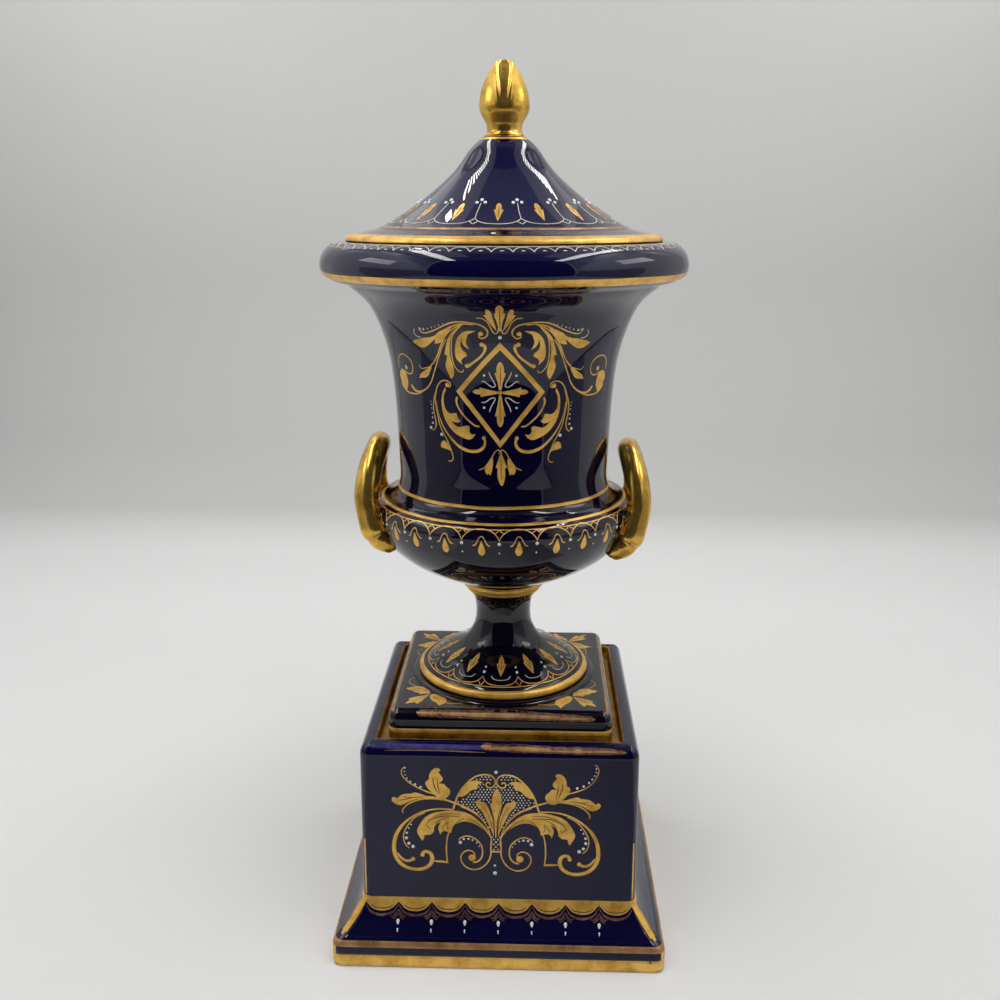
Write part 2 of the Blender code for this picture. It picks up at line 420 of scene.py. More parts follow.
                # a quad, or a triangle where a row is a point on the axis
                faces.append(tuple(dict.fromkeys((row[i], row[j], above[j], above[i]))))
                kinds.append(kind_of_row(k))
        self.add(verts, faces, kinds)

    def squares(self, rings, kinds):
        """Rounded squares joined in turn and closed; a ring is (half, corner, height)."""
        verts = []
        for half, corner, height in rings:
            verts += [Vector((p.x, p.y, height)) for p, _ in square_path(half, corner)]
        size = 4 * (CORNER_STEPS + 1)
        faces = [tuple(range(size))[::-1]] + tube(len(rings), size, flipped=True)
        faces.append(tuple(range(len(verts) - size, len(verts))))
        around = [kind for kind in kinds[:-1] for _ in range(size)]
        self.add(verts, faces, [kinds[0]] + around + [kinds[-1]])

    def square_band(self, profile, corner, low, high, kind=GOLD, lift=0.05, columns=2,
                    spans=None, widest=0.0):
        """A painted band round a square form, between two runs along its profile.

        spans limits it to parts of the way round, as (first, last) steps of the path;
        widest is the half width from which a rolled edge's corners tighten.
        """
        track = Turned(profile, 1.0, profile[0][1])
        lines = []
        for v, rise in band_section(low, high, lift, columns, SQUARE_BEVEL):
            point, normal = track.section(v)
            turn = rolled_corner(corner, widest, point.x) if widest else corner
            lines.append([Vector((*(p + outward * normal.x * rise), point.y + normal.y * rise))
                          for p, outward in square_path(point.x, turn, EDGE_STEPS)])
        size = len(lines)
        for first, last in spans or ((0, 4 * QUARTER - 1),):
            verts = [line[i % (4 * QUARTER)] for i in range(first, last + 1) for line in lines]
            faces = tube(last + 1 - first, size, closed=spans is None)
            if spans:
                faces += [tuple(range(size))[::-1], tuple(range(len(verts) - size, len(verts)))]
            self.add(verts, faces, kind)


# how each sort of stroke in a drawing is painted: material index and lift
STROKES = {"line": (GOLD, 0.05), "haze": (HAZE, 0.05), "vein": (SHADE, 0.115),
           "pale": (PALE, 0.08)}
VEIN = (0.1, 0.24, 0.1)       # the widths of most veins


def paint(shape, beads, surface, drawing, flip=1, axis=0.0):
    """Lay a drawing on a surface; flip -1 mirrors it about u = axis.

    An item is a leaf's outline, gilt balls or enamel dots with their sizes, or a stroke
    with its width or widths.
    """
    for what, *widths, points in drawing:
        points = [(axis + flip * (p[0] - axis), *p[1:]) for p in points]
        if what == "leaf":
            shape.leaf(surface, points)
        elif what == "ball":
            for u, v, size in points:
                shape.bead(surface, u, v, size, GOLD, 0.12, 12)
        elif what == "dots":
            for u, v, size in points:
                beads.bead(surface, u, v, size)
        else:
            layer = beads if what == "pale" else shape
            layer.stroke(surface, points, *widths, *STROKES[what])


def paint_both(shape, beads, surface, drawing):
    """Lay a drawing of a left half on a surface, and its mirror image."""
    for flip in (1, -1):
        paint(shape, beads, surface, drawing, flip)

# ---------------------------------------------------------------- materials


class Finish:
    """A new material, with the nodes that lead to its shader."""

    def __init__(self, name):
        self.made = bpy.data.materials.new(name)
        self.made.use_nodes = True
        self.tree = self.made.node_tree

    def put(self, node, inputs):
        """Link or set a node's inputs; a name's spaces are written as underscores."""
        for key, value in inputs.items():
            socket = node.inputs[key.replace("_", " ")]
            if isinstance(value, bpy.types.NodeSocket):
                self.tree.links.new(value, socket)
            else:
                socket.default_value = value

    def shader(self, **inputs):
        """The material, with these inputs of its shader set."""
        self.put(self.tree.nodes["Principled BSDF"], inputs)
        return self.made

    def node(self, kind, output, **inputs):
        """The output of a new node."""
        node = self.tree.nodes.new("ShaderNode" + kind)
        self.put(node, inputs)
        return node.outputs[output]

    def place(self):
        """The place on the object, which is the same in every view."""
        return self.node("TexCoord", "Object")

    def cloud(self, scale, detail, rough):
        """Soft noise, from 0 to 1."""
        return self.node("TexNoise", "Fac", Vector=self.place(), Scale=scale, Detail=detail,
                         Roughness=rough)

    def ramp(self, factor, *stops):
        """A colour that changes with the factor, as (place, colour) stops."""
        colour = self.node("ValToRGB", "Color", Fac=factor)
        elements = colour.node.color_ramp.elements
        while len(elements) < len(stops):
            elements.new(0.5)
        for element, (place, tone) in zip(elements, stops):
            element.position = place
            element.color = (*tone, 1.0)
        return colour

    def grey(self, factor, low, high, first=0.0, last=1.0):
        """A value running from `first` to `last` while the factor runs from low to high."""
        return self.node("MapRange", "Result", Value=factor, From_Min=low, From_Max=high,
                         To_Min=first, To_Max=last)

    def bump(self, height, strength, distance, **normal):
        """A normal bent by a height, over another normal if one is given."""
        return self.node("Bump", "Normal", Height=height, Strength=strength, Distance=distance,
                         **normal)


def cobalt_glaze(name, rough=0.018, satin=0.0, low_lit_share=0.1):
    """Dark cobalt under a thick clear glaze, with its slight waviness and pinholes. Its colour
    carries painted light and shade: bluer high up, where light falls, and near black low down.
    """
    f = Finish(name)
    pool = f.cloud(28.0, 3.0, 0.5)
    high_lit_tone = f.ramp(pool, (0.3, (0.0010, 0.0008, 0.015)), (0.7, (0.0022, 0.0016, 0.030)))
    low_shade_tone = f.ramp(pool, (0.3, (0.0008, 0.0005, 0.0022)), (0.7, (0.0020, 0.0010, 0.0060)))
    # painted light and shade by height: near black below 75 mm, turning blue by 150 mm, where the
    # upper parts catch the light
    height = f.node("SeparateXYZ", "Z", Vector=f.place())
    rise = f.grey(height, FLOOR + 0.075, FLOOR + 0.15, low_lit_share, 1.0)
    pits = f.node("TexVoronoi", "Distance", Vector=f.place(), Scale=420.0)
    swell = f.bump(f.cloud(95.0, 1.0, 0.4), 0.18, 0.0004)
    skin = f.bump(f.cloud(900.0, 2.0, 0.5), 0.008 + 0.1 * satin, 0.00008, Normal=swell)
    dimple = f.bump(f.grey(pits, 0.03, 0.09), 0.04, 0.00006, Normal=skin)
    patch = f.cloud(40.0, 4.0, 0.6)
    return f.shader(Base_Color=f.node("MixRGB", "Color", Fac=rise, Color1=low_shade_tone, Color2=high_lit_tone),
                    Roughness=f.grey(patch, 0.35, 0.75, rough, rough + 0.02 + 0.12 * satin),
                    Normal=dimple, IOR=1.54)


def painted_gold(name, deep, bright, rough, metallic, wear, worn, soft=1.0, bumpy=1.0):
    """Burnished gold on the glaze: slight changes of tone, fine scratches, and worn spots."""
    f = Finish(name)
    tone = f.cloud(240.0, 5.0, 0.62)
    gone = f.grey(f.cloud(520.0, 5.0, 0.65), wear, wear + 0.05 * soft)
    brush = f.cloud(1100.0, 3.0, 0.6)
    swell = f.bump(tone, 0.12 * bumpy, 0.0002)
    return f.shader(Base_Color=f.node("MixRGB", "Color", Fac=gone,
                                      Color1=f.ramp(tone, (0.32, deep), (0.58, bright)),
                                      Color2=(*worn, 1.0)),
                    Metallic=f.grey(gone, 0.0, 1.0, metallic, 0.4),
                    Roughness=f.grey(brush, 0.3, 0.7, rough, rough + 0.1),
                    Normal=f.bump(brush, 0.05, 0.00003, Normal=swell))


def enamel_paint(name, low, high, rough):
    """Slightly uneven enamel, standing on the glaze."""
    f = Finish(name)
    tone = f.cloud(700.0, 3.0, 0.5)
    return f.shader(Base_Color=f.ramp(tone, (0.3, low), (0.7, high)),
                    Roughness=f.grey(tone, 0.3, 0.7, rough, rough + 0.1),
                    Normal=f.bump(tone, 0.1, 0.00004))


def bare_porcelain(name):
    """The unglazed biscuit of the foot ring, the recess under the plinth and the seats."""
    f = Finish(name)
    colour = f.ramp(f.cloud(60.0, 5.0, 0.6), (0.3, (0.56, 0.52, 0.46)), (0.7, (0.74, 0.72, 0.67)))
    return f.shader(Base_Color=colour, Roughness=0.72,
                    Normal=f.bump(f.cloud(2200.0, 3.0, 0.6), 0.35, 0.00006))


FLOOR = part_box("plinth")[0].z
glaze = cobalt_glaze("cobalt_glaze")
panel_glaze = cobalt_glaze("cobalt_glaze_plinth", 0.06, 0.5, 0.9)
gold = painted_gold("burnished_gold", (0.55, 0.29, 0.045), (0.88, 0.53, 0.12), 0.32, 0.62,
                    0.70, (0.05, 0.025, 0.012))
thick_gold = painted_gold("burnished_gold_relief", (0.47, 0.25, 0.03), (0.86, 0.54, 0.11), 0.17,
                          0.94, 0.9, (0.30, 0.15, 0.06), 1.0, 0.3)
# darker gold for the gilt inside the plinth's recess and for the foot plate's band down in it:
# painted shade of the recess
recess_shade_gold = painted_gold("recess_shade_gold", (0.13, 0.065, 0.008), (0.38, 0.21, 0.03), 0.34, 0.75,
                         0.62, (0.05, 0.025, 0.012), 2.0)
copper = painted_gold("rubbed_gold", (0.25, 0.12, 0.038), (0.50, 0.28, 0.115), 0.34, 0.6,
                      0.56, (0.17, 0.085, 0.045), 4.0)
haze = painted_gold("worn_gold", (0.05, 0.024, 0.03), (0.17, 0.085, 0.05), 0.22, 0.4,
                    0.6, (0.035, 0.02, 0.03), 5.0)
# lighter blue for the plinth's front roll: a painted sheen
cobalt_sheen_paint = enamel_paint("painted_cobalt_sheen", (0.016, 0.015, 0.075), (0.035, 0.033, 0.14), 0.12)
shade = enamel_paint("brown_shading", (0.012, 0.006, 0.003), (0.035, 0.017, 0.007), 0.4)
white = enamel_paint("white_enamel", (0.50, 0.51, 0.54), (0.66, 0.67, 0.69), 0.15)
pale = enamel_paint("pale_enamel_line", (0.42, 0.38, 0.32), (0.62, 0.58, 0.50), 0.25)
bisque = bare_porcelain("bare_porcelain")

GILDING = (gold, copper, shade, cobalt_sheen_paint, recess_shade_gold, haze)
ENAMEL = (white, pale)
NODE_FOOT = {"lid": 159.6, "urn": 51.3, "plinth": 0.0}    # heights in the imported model


def make_ornament(shape, beads, node):
    """The gilding and the enamel of a node."""
    shape.make(node + "_gilding", node, GILDING, "gilding")
    beads.make(node + "_enamel", node, ENAMEL, "enamel")

# ---------------------------------------------------------------- plinth

BASE_HALF, BOX_LOW, BOX_HIGH = 38.67, 32.05, 31.9
SKIRT_FOOT, SKIRT_TOP, PLINTH_TOP = 7.2, 14.2, 53.5
RECESS_HALF, RECESS_FLOOR = 28.15, 51.0
RIM_ROUND, RIM_INNER_ROUND = 3.0, 0.75
BASE_CORNER, BOX_CORNER, RECESS_CORNER = 2.2, 2.2, 1.2
WALL = 4.0
BOX_STEPS, GILT_RIM_RINGS = 6, 5

EDGE_RUN = [(BASE_HALF - 0.5, 0.0), (BASE_HALF - 0.12, 0.2), (BASE_HALF, 0.6),
            (BASE_HALF, 3.0), (BASE_HALF, 5.2), (BASE_HALF - 0.14, 5.9),
            (BASE_HALF - 0.5, 6.5)]
SKIRT_RUN = through([(BASE_HALF - 1.5, SKIRT_FOOT), (BASE_HALF - 4.5, 10.4),
                     (BOX_LOW, SKIRT_TOP)], 8)
ROLL_RUN = arc((BOX_HIGH - RIM_ROUND, PLINTH_TOP - RIM_ROUND), RIM_ROUND, 0, 90, 14)
INNER_RUN = arc((RECESS_HALF + RIM_INNER_ROUND, PLINTH_TOP - RIM_INNER_ROUND), RIM_INNER_ROUND,
                105, 180, 6)


def build_plinth():
    """The pedestal, with the foot plate's recess on top and a hollow that is open below."""
    outer = [(half, BASE_CORNER, z) for half, z in EDGE_RUN]
    outer += [(p.x, BASE_CORNER, p.y) for p in SKIRT_RUN]
    outer += [(BOX_LOW - (BOX_LOW - BOX_HIGH) * k / BOX_STEPS, BOX_CORNER,
               SKIRT_TOP + 0.3 + (PLINTH_TOP - RIM_ROUND - SKIRT_TOP - 0.6) * k / BOX_STEPS)
              for k in range(BOX_STEPS + 1)]
    outer += [(p.x, rolled_corner(BOX_CORNER, BOX_HIGH, p.x), p.y) for p in ROLL_RUN]
    outer += [(p.x, RECESS_CORNER, p.y) for p in INNER_RUN]
    recess = [(RECESS_HALF - inset, RECESS_CORNER, RECESS_FLOOR + up)
              for inset, up in ((0.0, 0.5), (0.12, 0.15), (0.5, 0.0))]
    box, foot = BOX_LOW - WALL, BASE_HALF - WALL
    cavity = [(box - 0.6, BOX_CORNER, 48.0), (box, BOX_CORNER, 47.4), (box, BOX_CORNER, 14.4),
              (box + 0.5, BOX_CORNER, 13.2), (foot - 0.6, BASE_CORNER, 5.6),
              (foot, BASE_CORNER, 4.8), (foot, BASE_CORNER, 0.0)]
    bare, gilt = len(cavity) + 1, GILT_RIM_RINGS + len(recess)
    rings = cavity + outer + recess
    shape = Shape()
    shape.squares(rings, [BISQUE] * bare + [GLAZE] * (len(rings) - bare - gilt) + [GILT] * gilt)
    # the rim's inner edge and the recess's gilt walls and floor take the darker gold of painted
    # shade
    obj = shape.make("plinth_porcelain", "plinth", (panel_glaze, recess_shade_gold, bisque),
                     "cobalt_porcelain", 50)
    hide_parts("plinth")


PANEL = (
    # the lobe with its volute, and the leaf lying inside it
    ("line", (0.5, 0.38), ((-10.6, 36.8), (-10.1, 38.4), (-9.5, 40.3), (-8.4, 42.4), (-7.0, 44.1),
     (-5.3, 45.5), (-3.3, 46.05), (-1.7, 45.75), (-0.9, 44.8), (-0.9, 43.6), (-1.7, 42.8),
     (-2.6, 42.9), (-2.95, 43.6), (-2.4, 44.15), (-1.9, 43.7))),
    ("leaf", ((-9.3, 40.4, 1), (-8.3, 42.2), (-7.0, 43.9), (-5.6, 44.5), (-4.4, 44.4),
     (-3.55, 44.0, 1), (-4.6, 43.7), (-4.9, 43.0), (-5.0, 42.3, 1), (-5.8, 42.25), (-6.6, 41.8),
     (-7.2, 41.1), (-8.3, 40.4))),
    # palmette
    ("leaf", ((-4.75, 39.8, 1), (-4.1, 39.2), (-3.1, 38.9), (-2.5, 37.9), (-2.0, 36.4),
     (-1.35, 34.0), (-1.15, 30.2), (-1.5, 31.4), (-2.9, 34.6), (-4.0, 36.8), (-5.1, 38.2),
     (-5.15, 39.2))),
    ("vein", 0.16, ((-3.6, 38.0), (-2.7, 36.6), (-1.9, 34.4), (-1.4, 32.2))),
    # acanthus: two lobed ends on a body that swells and runs down to the centre
    ("leaf", ((-1.75, 29.0, 1), (-2.1, 30.3), (-3.0, 31.5), (-4.6, 32.9), (-6.4, 33.8),
     (-8.2, 34.0), (-9.6, 33.5), (-10.35, 32.8, 1), (-10.8, 31.5), (-11.1, 31.0, 1), (-12.1, 31.4),
     (-12.8, 31.5, 1), (-13.4, 30.9), (-13.5, 30.4, 1), (-13.8, 31.4), (-13.95, 32.5),
     (-13.3, 33.8), (-14.5, 33.1, 1), (-15.0, 32.2), (-15.05, 31.2), (-15.9, 30.4, 1),
     (-16.7, 30.4), (-17.2, 30.3, 1), (-17.3, 29.5), (-17.7, 28.8, 1), (-18.3, 29.8), (-18.9, 31.2),
     (-18.5, 32.6), (-17.4, 34.4, 1), (-16.9, 35.0), (-15.2, 36.0), (-12.8, 36.6), (-10.6, 36.8),
     (-8.2, 36.5), (-6.2, 35.6), (-4.4, 34.1), (-2.9, 32.4), (-1.9, 30.6))),
    ("vein", (0.14, 0.34, 0.14), ((-17.0, 32.6), (-16.4, 33.6), (-15.3, 34.5), (-13.6, 35.2),
     (-11.6, 35.4), (-9.0, 35.2))),
    ("vein", (0.3, 0.2, 0.1), ((-14.6, 33.2), (-13.9, 34.0), (-12.8, 34.7), (-11.5, 35.1))),
    ("vein", (0.34, 0.24, 0.1), ((-10.9, 31.3), (-10.5, 32.6), (-9.4, 34.0), (-7.8, 35.0))),
    ("vein", VEIN, ((-16.6, 34.0), (-14.4, 35.4), (-11.8, 36.0), (-8.8, 35.8))),
    ("vein", 0.2, ((-15.7, 31.9), (-16.3, 32.4), (-16.6, 33.1))),
    ("vein", 0.2, ((-13.0, 32.0), (-12.6, 33.0), (-11.7, 33.9))),
    ("vein", 0.2, ((-11.6, 31.9), (-12.0, 32.8), (-11.6, 33.8))),
    ("vein", (0.1, 0.18, 0.1), ((-7.4, 34.9), (-5.4, 34.0), (-3.6, 32.3), (-2.4, 30.6))),
    # outer scroll
    ("line", (0.35, 0.45, 0.5, 0.62, 0.95, 1.05, 1.05, 0.95, 0.95, 1.05, 0.8), ((-10.6, 37.05),
     (-14.0, 37.1), (-17.2, 36.4), (-20.0, 34.9), (-22.2, 32.9), (-23.7, 30.4), (-24.3, 27.8),
     (-24.2, 25.4), (-23.3, 23.3), (-21.7, 21.9), (-19.6, 21.3), (-17.6, 21.5), (-16.1, 22.5),
     (-15.5, 23.9), (-15.7, 25.3), (-16.5, 26.0), (-17.4, 25.9), (-17.9, 25.2))),
    ("ball", ((-17.75, 25.15, 1.05), (-20.0, 24.0, 1.1), (-6.2, 24.65, 1.75))),
    ("line", (0.4, 0.75, 0.8), ((-23.6, 25.6), (-22.7, 24.2), (-21.5, 23.5), (-20.2, 23.7))),
    ("vein", (0.1, 0.2, 0.1), ((-23.3, 24.6), (-22.4, 23.3), (-21.2, 22.5), (-19.8, 22.1))),
    ("line", (0.28, 0.32, 0.3), ((-17.0, 36.1), (-19.2, 34.9), (-21.0, 32.8), (-22.0, 30.6),
     (-22.0, 28.8), (-21.5, 27.6), (-20.7, 26.8))),
    ("dots", ((-19.9, 27.3, 0.85), (-20.85, 28.1, 0.75), (-21.4, 29.5, 0.78), (-21.3, 30.8, 0.6),
     (-20.8, 32.05, 0.45), (-20.25, 33.0, 0.4))),
    # the angular stem between the scrolls
    ("line", (0.35, 0.4), ((-11.5, 31.3), (-11.95, 29.5), (-12.15, 27.0), (-12.1, 25.0),
     (-11.9, 23.1))),
    ("line", (0.5, 0.62), ((-15.0, 23.5), (-13.4, 23.45), (-11.75, 23.3))),
    # inner spiral, closing round its ball
    ("line", (0.45, 0.4, 0.36, 0.34, 0.36, 0.36, 0.3), ((-1.75, 29.4), (-1.8, 27.4), (-1.9, 25.2),
     (-2.7, 23.3), (-4.2, 21.9), (-6.0, 21.5), (-7.7, 22.2), (-8.7, 23.7), (-8.7, 25.2),
     (-7.8, 26.3), (-6.6, 26.5), (-5.7, 25.9), (-5.5, 25.2))),
    ("line", (0.5, 0.42, 0.34, 0.26), ((-6.0, 23.4), (-5.0, 23.6), (-4.1, 24.5), (-3.75, 26.0),
     (-4.0, 27.8), (-5.0, 29.2), (-6.6, 30.2), (-7.9, 30.2), (-8.9, 29.7), (-9.2, 29.2))),
    ("dots", ((-8.9, 28.6, 0.85), (-8.1, 29.5, 0.6), (-7.0, 29.55, 0.55), (-6.05, 29.25, 0.45),
     (-5.1, 28.6, 0.4), (-4.5, 27.7, 0.3))),
    # stems beside the palmette
    ("line", (0.2, 0.3, 0.34), ((-1.5, 28.2), (-1.9, 30.6), (-2.9, 33.2), (-4.6, 35.4),
     (-6.6, 36.9), (-8.8, 37.9))),
    # outward spray with its under-curl
    ("line", (0.3, 0.45, 0.7), ((-4.6, 35.9), (-6.8, 37.2), (-9.6, 38.5), (-12.4, 39.5),
     (-15.0, 40.0), (-17.6, 40.1))),
    ("leaf", ((-15.5, 39.8, 1), (-17.6, 40.8), (-19.3, 41.25), (-20.0, 40.9, 1), (-21.0, 40.85),
     (-22.0, 40.7), (-22.9, 40.1), (-23.4, 39.6, 1), (-24.0, 40.0), (-24.3, 40.0, 1),
     (-24.65, 39.3), (-24.2, 38.6), (-23.6, 38.2), (-22.6, 37.9, 1), (-21.6, 38.3), (-20.6, 38.9),
     (-18.6, 39.6))),
    ("vein", (0.15, 0.22, 0.1), ((-23.0, 39.2), (-21.4, 39.5), (-19.6, 40.0), (-17.6, 40.15))),
    ("vein", 0.14, ((-22.0, 40.2), (-21.2, 40.0), (-20.2, 40.0))),
    ("line", (0.22, 0.34, 0.4, 0.32), ((-12.6, 39.4), (-15.4, 39.7), (-18.2, 39.4), (-20.6, 38.4),
     (-21.9, 37.2), (-22.2, 36.3), (-21.95, 35.9))),
)
PANEL_SPRAY = (
    # upright spray
    ("leaf", ((-13.5, 39.8, 1), (-14.6, 40.6), (-15.9, 41.9), (-16.6, 43.0), (-16.8, 43.9),
     (-16.2, 44.4), (-15.9, 44.7, 1), (-15.95, 45.4), (-15.5, 46.6), (-14.8, 47.3), (-14.0, 47.55),
     (-13.4, 47.2), (-13.35, 46.8, 1), (-13.8, 46.6, 1), (-13.5, 46.0), (-12.9, 45.3),
     (-12.8, 44.5), (-13.4, 43.9), (-13.8, 43.4, 1), (-13.3, 43.6, 1), (-12.5, 43.5), (-12.1, 42.9),
     (-11.3, 42.2), (-11.1, 41.3), (-11.6, 40.4), (-12.4, 39.8))),
    ("vein", (0.12, 0.35, 0.12), ((-15.0, 45.2), (-15.0, 44.0), (-14.6, 42.6), (-13.8, 41.0))),
    ("vein", (0.12, 0.3, 0.12), ((-14.0, 45.0), (-14.0, 43.6), (-13.8, 42.4), (-13.5, 41.0))),
)
PANEL_TENDRIL = (
    # beaded tendril
    ("line", (0.4, 0.34, 0.28, 0.24), ((-12.2, 39.9), (-14.4, 40.8), (-16.8, 41.6), (-18.8, 42.6),
     (-20.6, 43.8), (-21.9, 45.2), (-22.25, 46.4), (-21.9, 47.3), (-21.4, 47.6))),
    ("dots", ((-17.9, 42.6, 0.65), (-19.15, 43.3, 0.58), (-20.2, 44.0, 0.48), (-21.0, 44.8, 0.42),
     (-21.35, 45.6, 0.32), (-21.5, 46.5, 0.32), (-21.4, 47.4, 0.4))),
)
PANEL_TENDRIL_RIGHT = (
    ("line", (0.4, 0.34, 0.28, 0.24), ((10.9, 39.3), (13.5, 40.6), (15.9, 41.5), (17.6, 42.05),
     (19.9, 43.1), (21.5, 44.6), (22.4, 46.3), (22.7, 47.6), (22.2, 48.7), (21.7, 48.9))),
    ("dots", ((17.85, 43.0, 0.65), (19.3, 43.5, 0.58), (20.5, 44.4, 0.48), (21.2, 45.3, 0.42),
     (21.75, 46.2, 0.32), (22.1, 47.1, 0.32), (22.1, 48.0, 0.4))),
)
PANEL_AXIS = -0.65
PANEL_MIDDLE = (
    ("leaf", ((-0.75, 29.8, 1), (-1.0, 32.6), (-1.6, 36.6), (-2.0, 39.0), (-1.55, 38.6, 1),
     (-1.5, 40.4), (-1.0, 41.8), (-0.45, 42.6, 1), (0.15, 41.6), (0.55, 40.3), (0.5, 38.6, 1),
     (0.85, 39.0), (0.35, 36.6), (-0.4, 32.6), (-0.6, 29.8))),
    ("vein", VEIN, ((-1.7, 37.6), (-1.25, 35.4), (-0.9, 32.6))),
    ("vein", VEIN, ((0.3, 37.6), (-0.1, 35.4), (-0.5, 32.6))),
    ("line", 0.5, ((-1.75, 26.35), (-0.65, 26.3), (0.45, 26.35))),
    ("dots", ((-0.65, 46.7, 0.8), (-0.9, 22.7, 0.55), (-0.85, 20.7, 0.95))),
)
GROUND = [Vector(p) for p in (
    (-0.65, 44.2), (-1.4, 42.4), (-2.7, 42.3), (-3.4, 43.2), (-3.1, 44.4), (-1.6, 44.9),
    (-1.6, 45.4), (-3.4, 45.6), (-5.0, 45.2), (-6.2, 44.5), (-4.2, 44.7), (-3.3, 44.1),
    (-4.6, 43.4), (-4.7, 42.0), (-6.0, 41.7), (-7.0, 40.6), (-8.6, 39.9), (-9.4, 39.3),
    (-9.5, 38.8), (-7.4, 37.8), (-5.6, 36.8), (-4.0, 35.2), (-2.6, 33.2), (-1.7, 31.2),
    (-1.5, 29.2), (-1.5, 26.8), (-0.65, 26.8))]
DOT_PITCH, DOT_ROW = 0.78, 0.64


def fish_scale_ground(beads, surface):
    """The field of fine pale dots behind the palmette."""
    leaves = [closed_outline(item[1], 0.6) for item in PANEL + PANEL_MIDDLE if item[0] == "leaf"]
    row = 0
    z = 26.9
    while z < 45.6:
        u = -9.7 + (DOT_PITCH / 2 if row % 2 else 0.0)
        while u < PANEL_AXIS:
            p = Vector((u, z))
            clear = all(not inside(p, leaf) and edge_distance(p, leaf) > 0.22 for leaf in leaves)
            if inside(p, GROUND) and clear:
                for flip in (1, -1):
                    across = PANEL_AXIS + flip * (u - PANEL_AXIS)
                    beads.bead(surface, across, z, 0.42, PALE, 0.22, 6)
            u += DOT_PITCH
        z += DOT_ROW
        row += 1


SKIRT_BAYS, SKIRT_BAY = 8, 7.83


def skirt_bay(m):
    """Ornament under the scalloped border, drawn about a bay's middle."""
    h = SKIRT_BAY / 2
    hem = mirrored(m, ((h, 13.35, 1), (3.2, 12.75), (2.5, 12.1), (1.35, 11.65), (0, 11.5)))
    return (
        ("leaf", hem + [(m, 14.0)]),
        ("haze", (0.2, 0.5, 0.55, 0.5, 0.2),
         mirrored(m, ((h, 12.95), (3.35, 12.1), (2.4, 11.2), (0, 10.7)))),
        ("vein", 0.2, mirrored(m, ((2.6, 12.75), (1.7, 12.2), (0, 12.0)))),
    )


def skirt_fleur(u):
    """Two nested gable shapes with out-curled ends, over two drops of enamel."""
    items = [("dots", ((u, 9.7, 0.8), (u, 9.4, 0.55), (u, 8.4, 0.38), (u, 8.1, 0.26)))]
    for side in (-1, 1):
        for widths, gable in (
                ((0.2, 0.42, 0.42, 0.26),
                 ((0, 11.95), (0.3, 11.35), (0.8, 10.75), (1.35, 10.5), (1.9, 10.65))),
                ((0.2, 0.34, 0.3, 0.2),
                 ((0, 11.15), (0.3, 10.7), (0.75, 10.3), (1.15, 10.1), (1.5, 10.2)))):
            items.append(("haze", widths, [(u + out * side, v) for out, v in gable]))
    return items


# small chips in the gilt foot of the plinth, two near its right corner
CHIPS = (((34.6, 2.9, 1), (35.0, 3.3), (35.6, 3.2), (35.9, 2.7), (35.4, 2.4), (34.9, 2.5)),
         ((35.9, 1.7, 1), (36.2, 2.2), (36.45, 1.9), (36.3, 1.4)),
         ((14.3, 2.1, 1), (15.0, 2.35), (16.1, 2.3), (16.0, 2.05), (15.1, 1.95)))
# where the gilt line is rubbed on the front's rolled edge
FRONT_WEAR = ((-4.2, 52.9), (-1.5, 52.75), (3.0, 52.65), (9.0, 52.55), (15.0, 52.45),
              (22.0, 52.4), (29.0, 52.3))
# where the front's rolled edge shows a lighter blue: a painted sheen
SHEEN_PLACE = ((-30.0, 52.75), (-20.0, 52.8), (-10.0, 52.85), (-3.0, 52.9))
FAINT_WEAR = ((-26.0, 52.0), (-19.0, 52.1), (-13.0, 52.1), (-8.0, 52.0), (-3.0, 51.9))
# the box's gilt edges, as a quarter of the way round and a step in it
BOX_EDGES = ((0, 1), (0, 6), (1, 1), (1, 6), (2, 4), (3, 3))


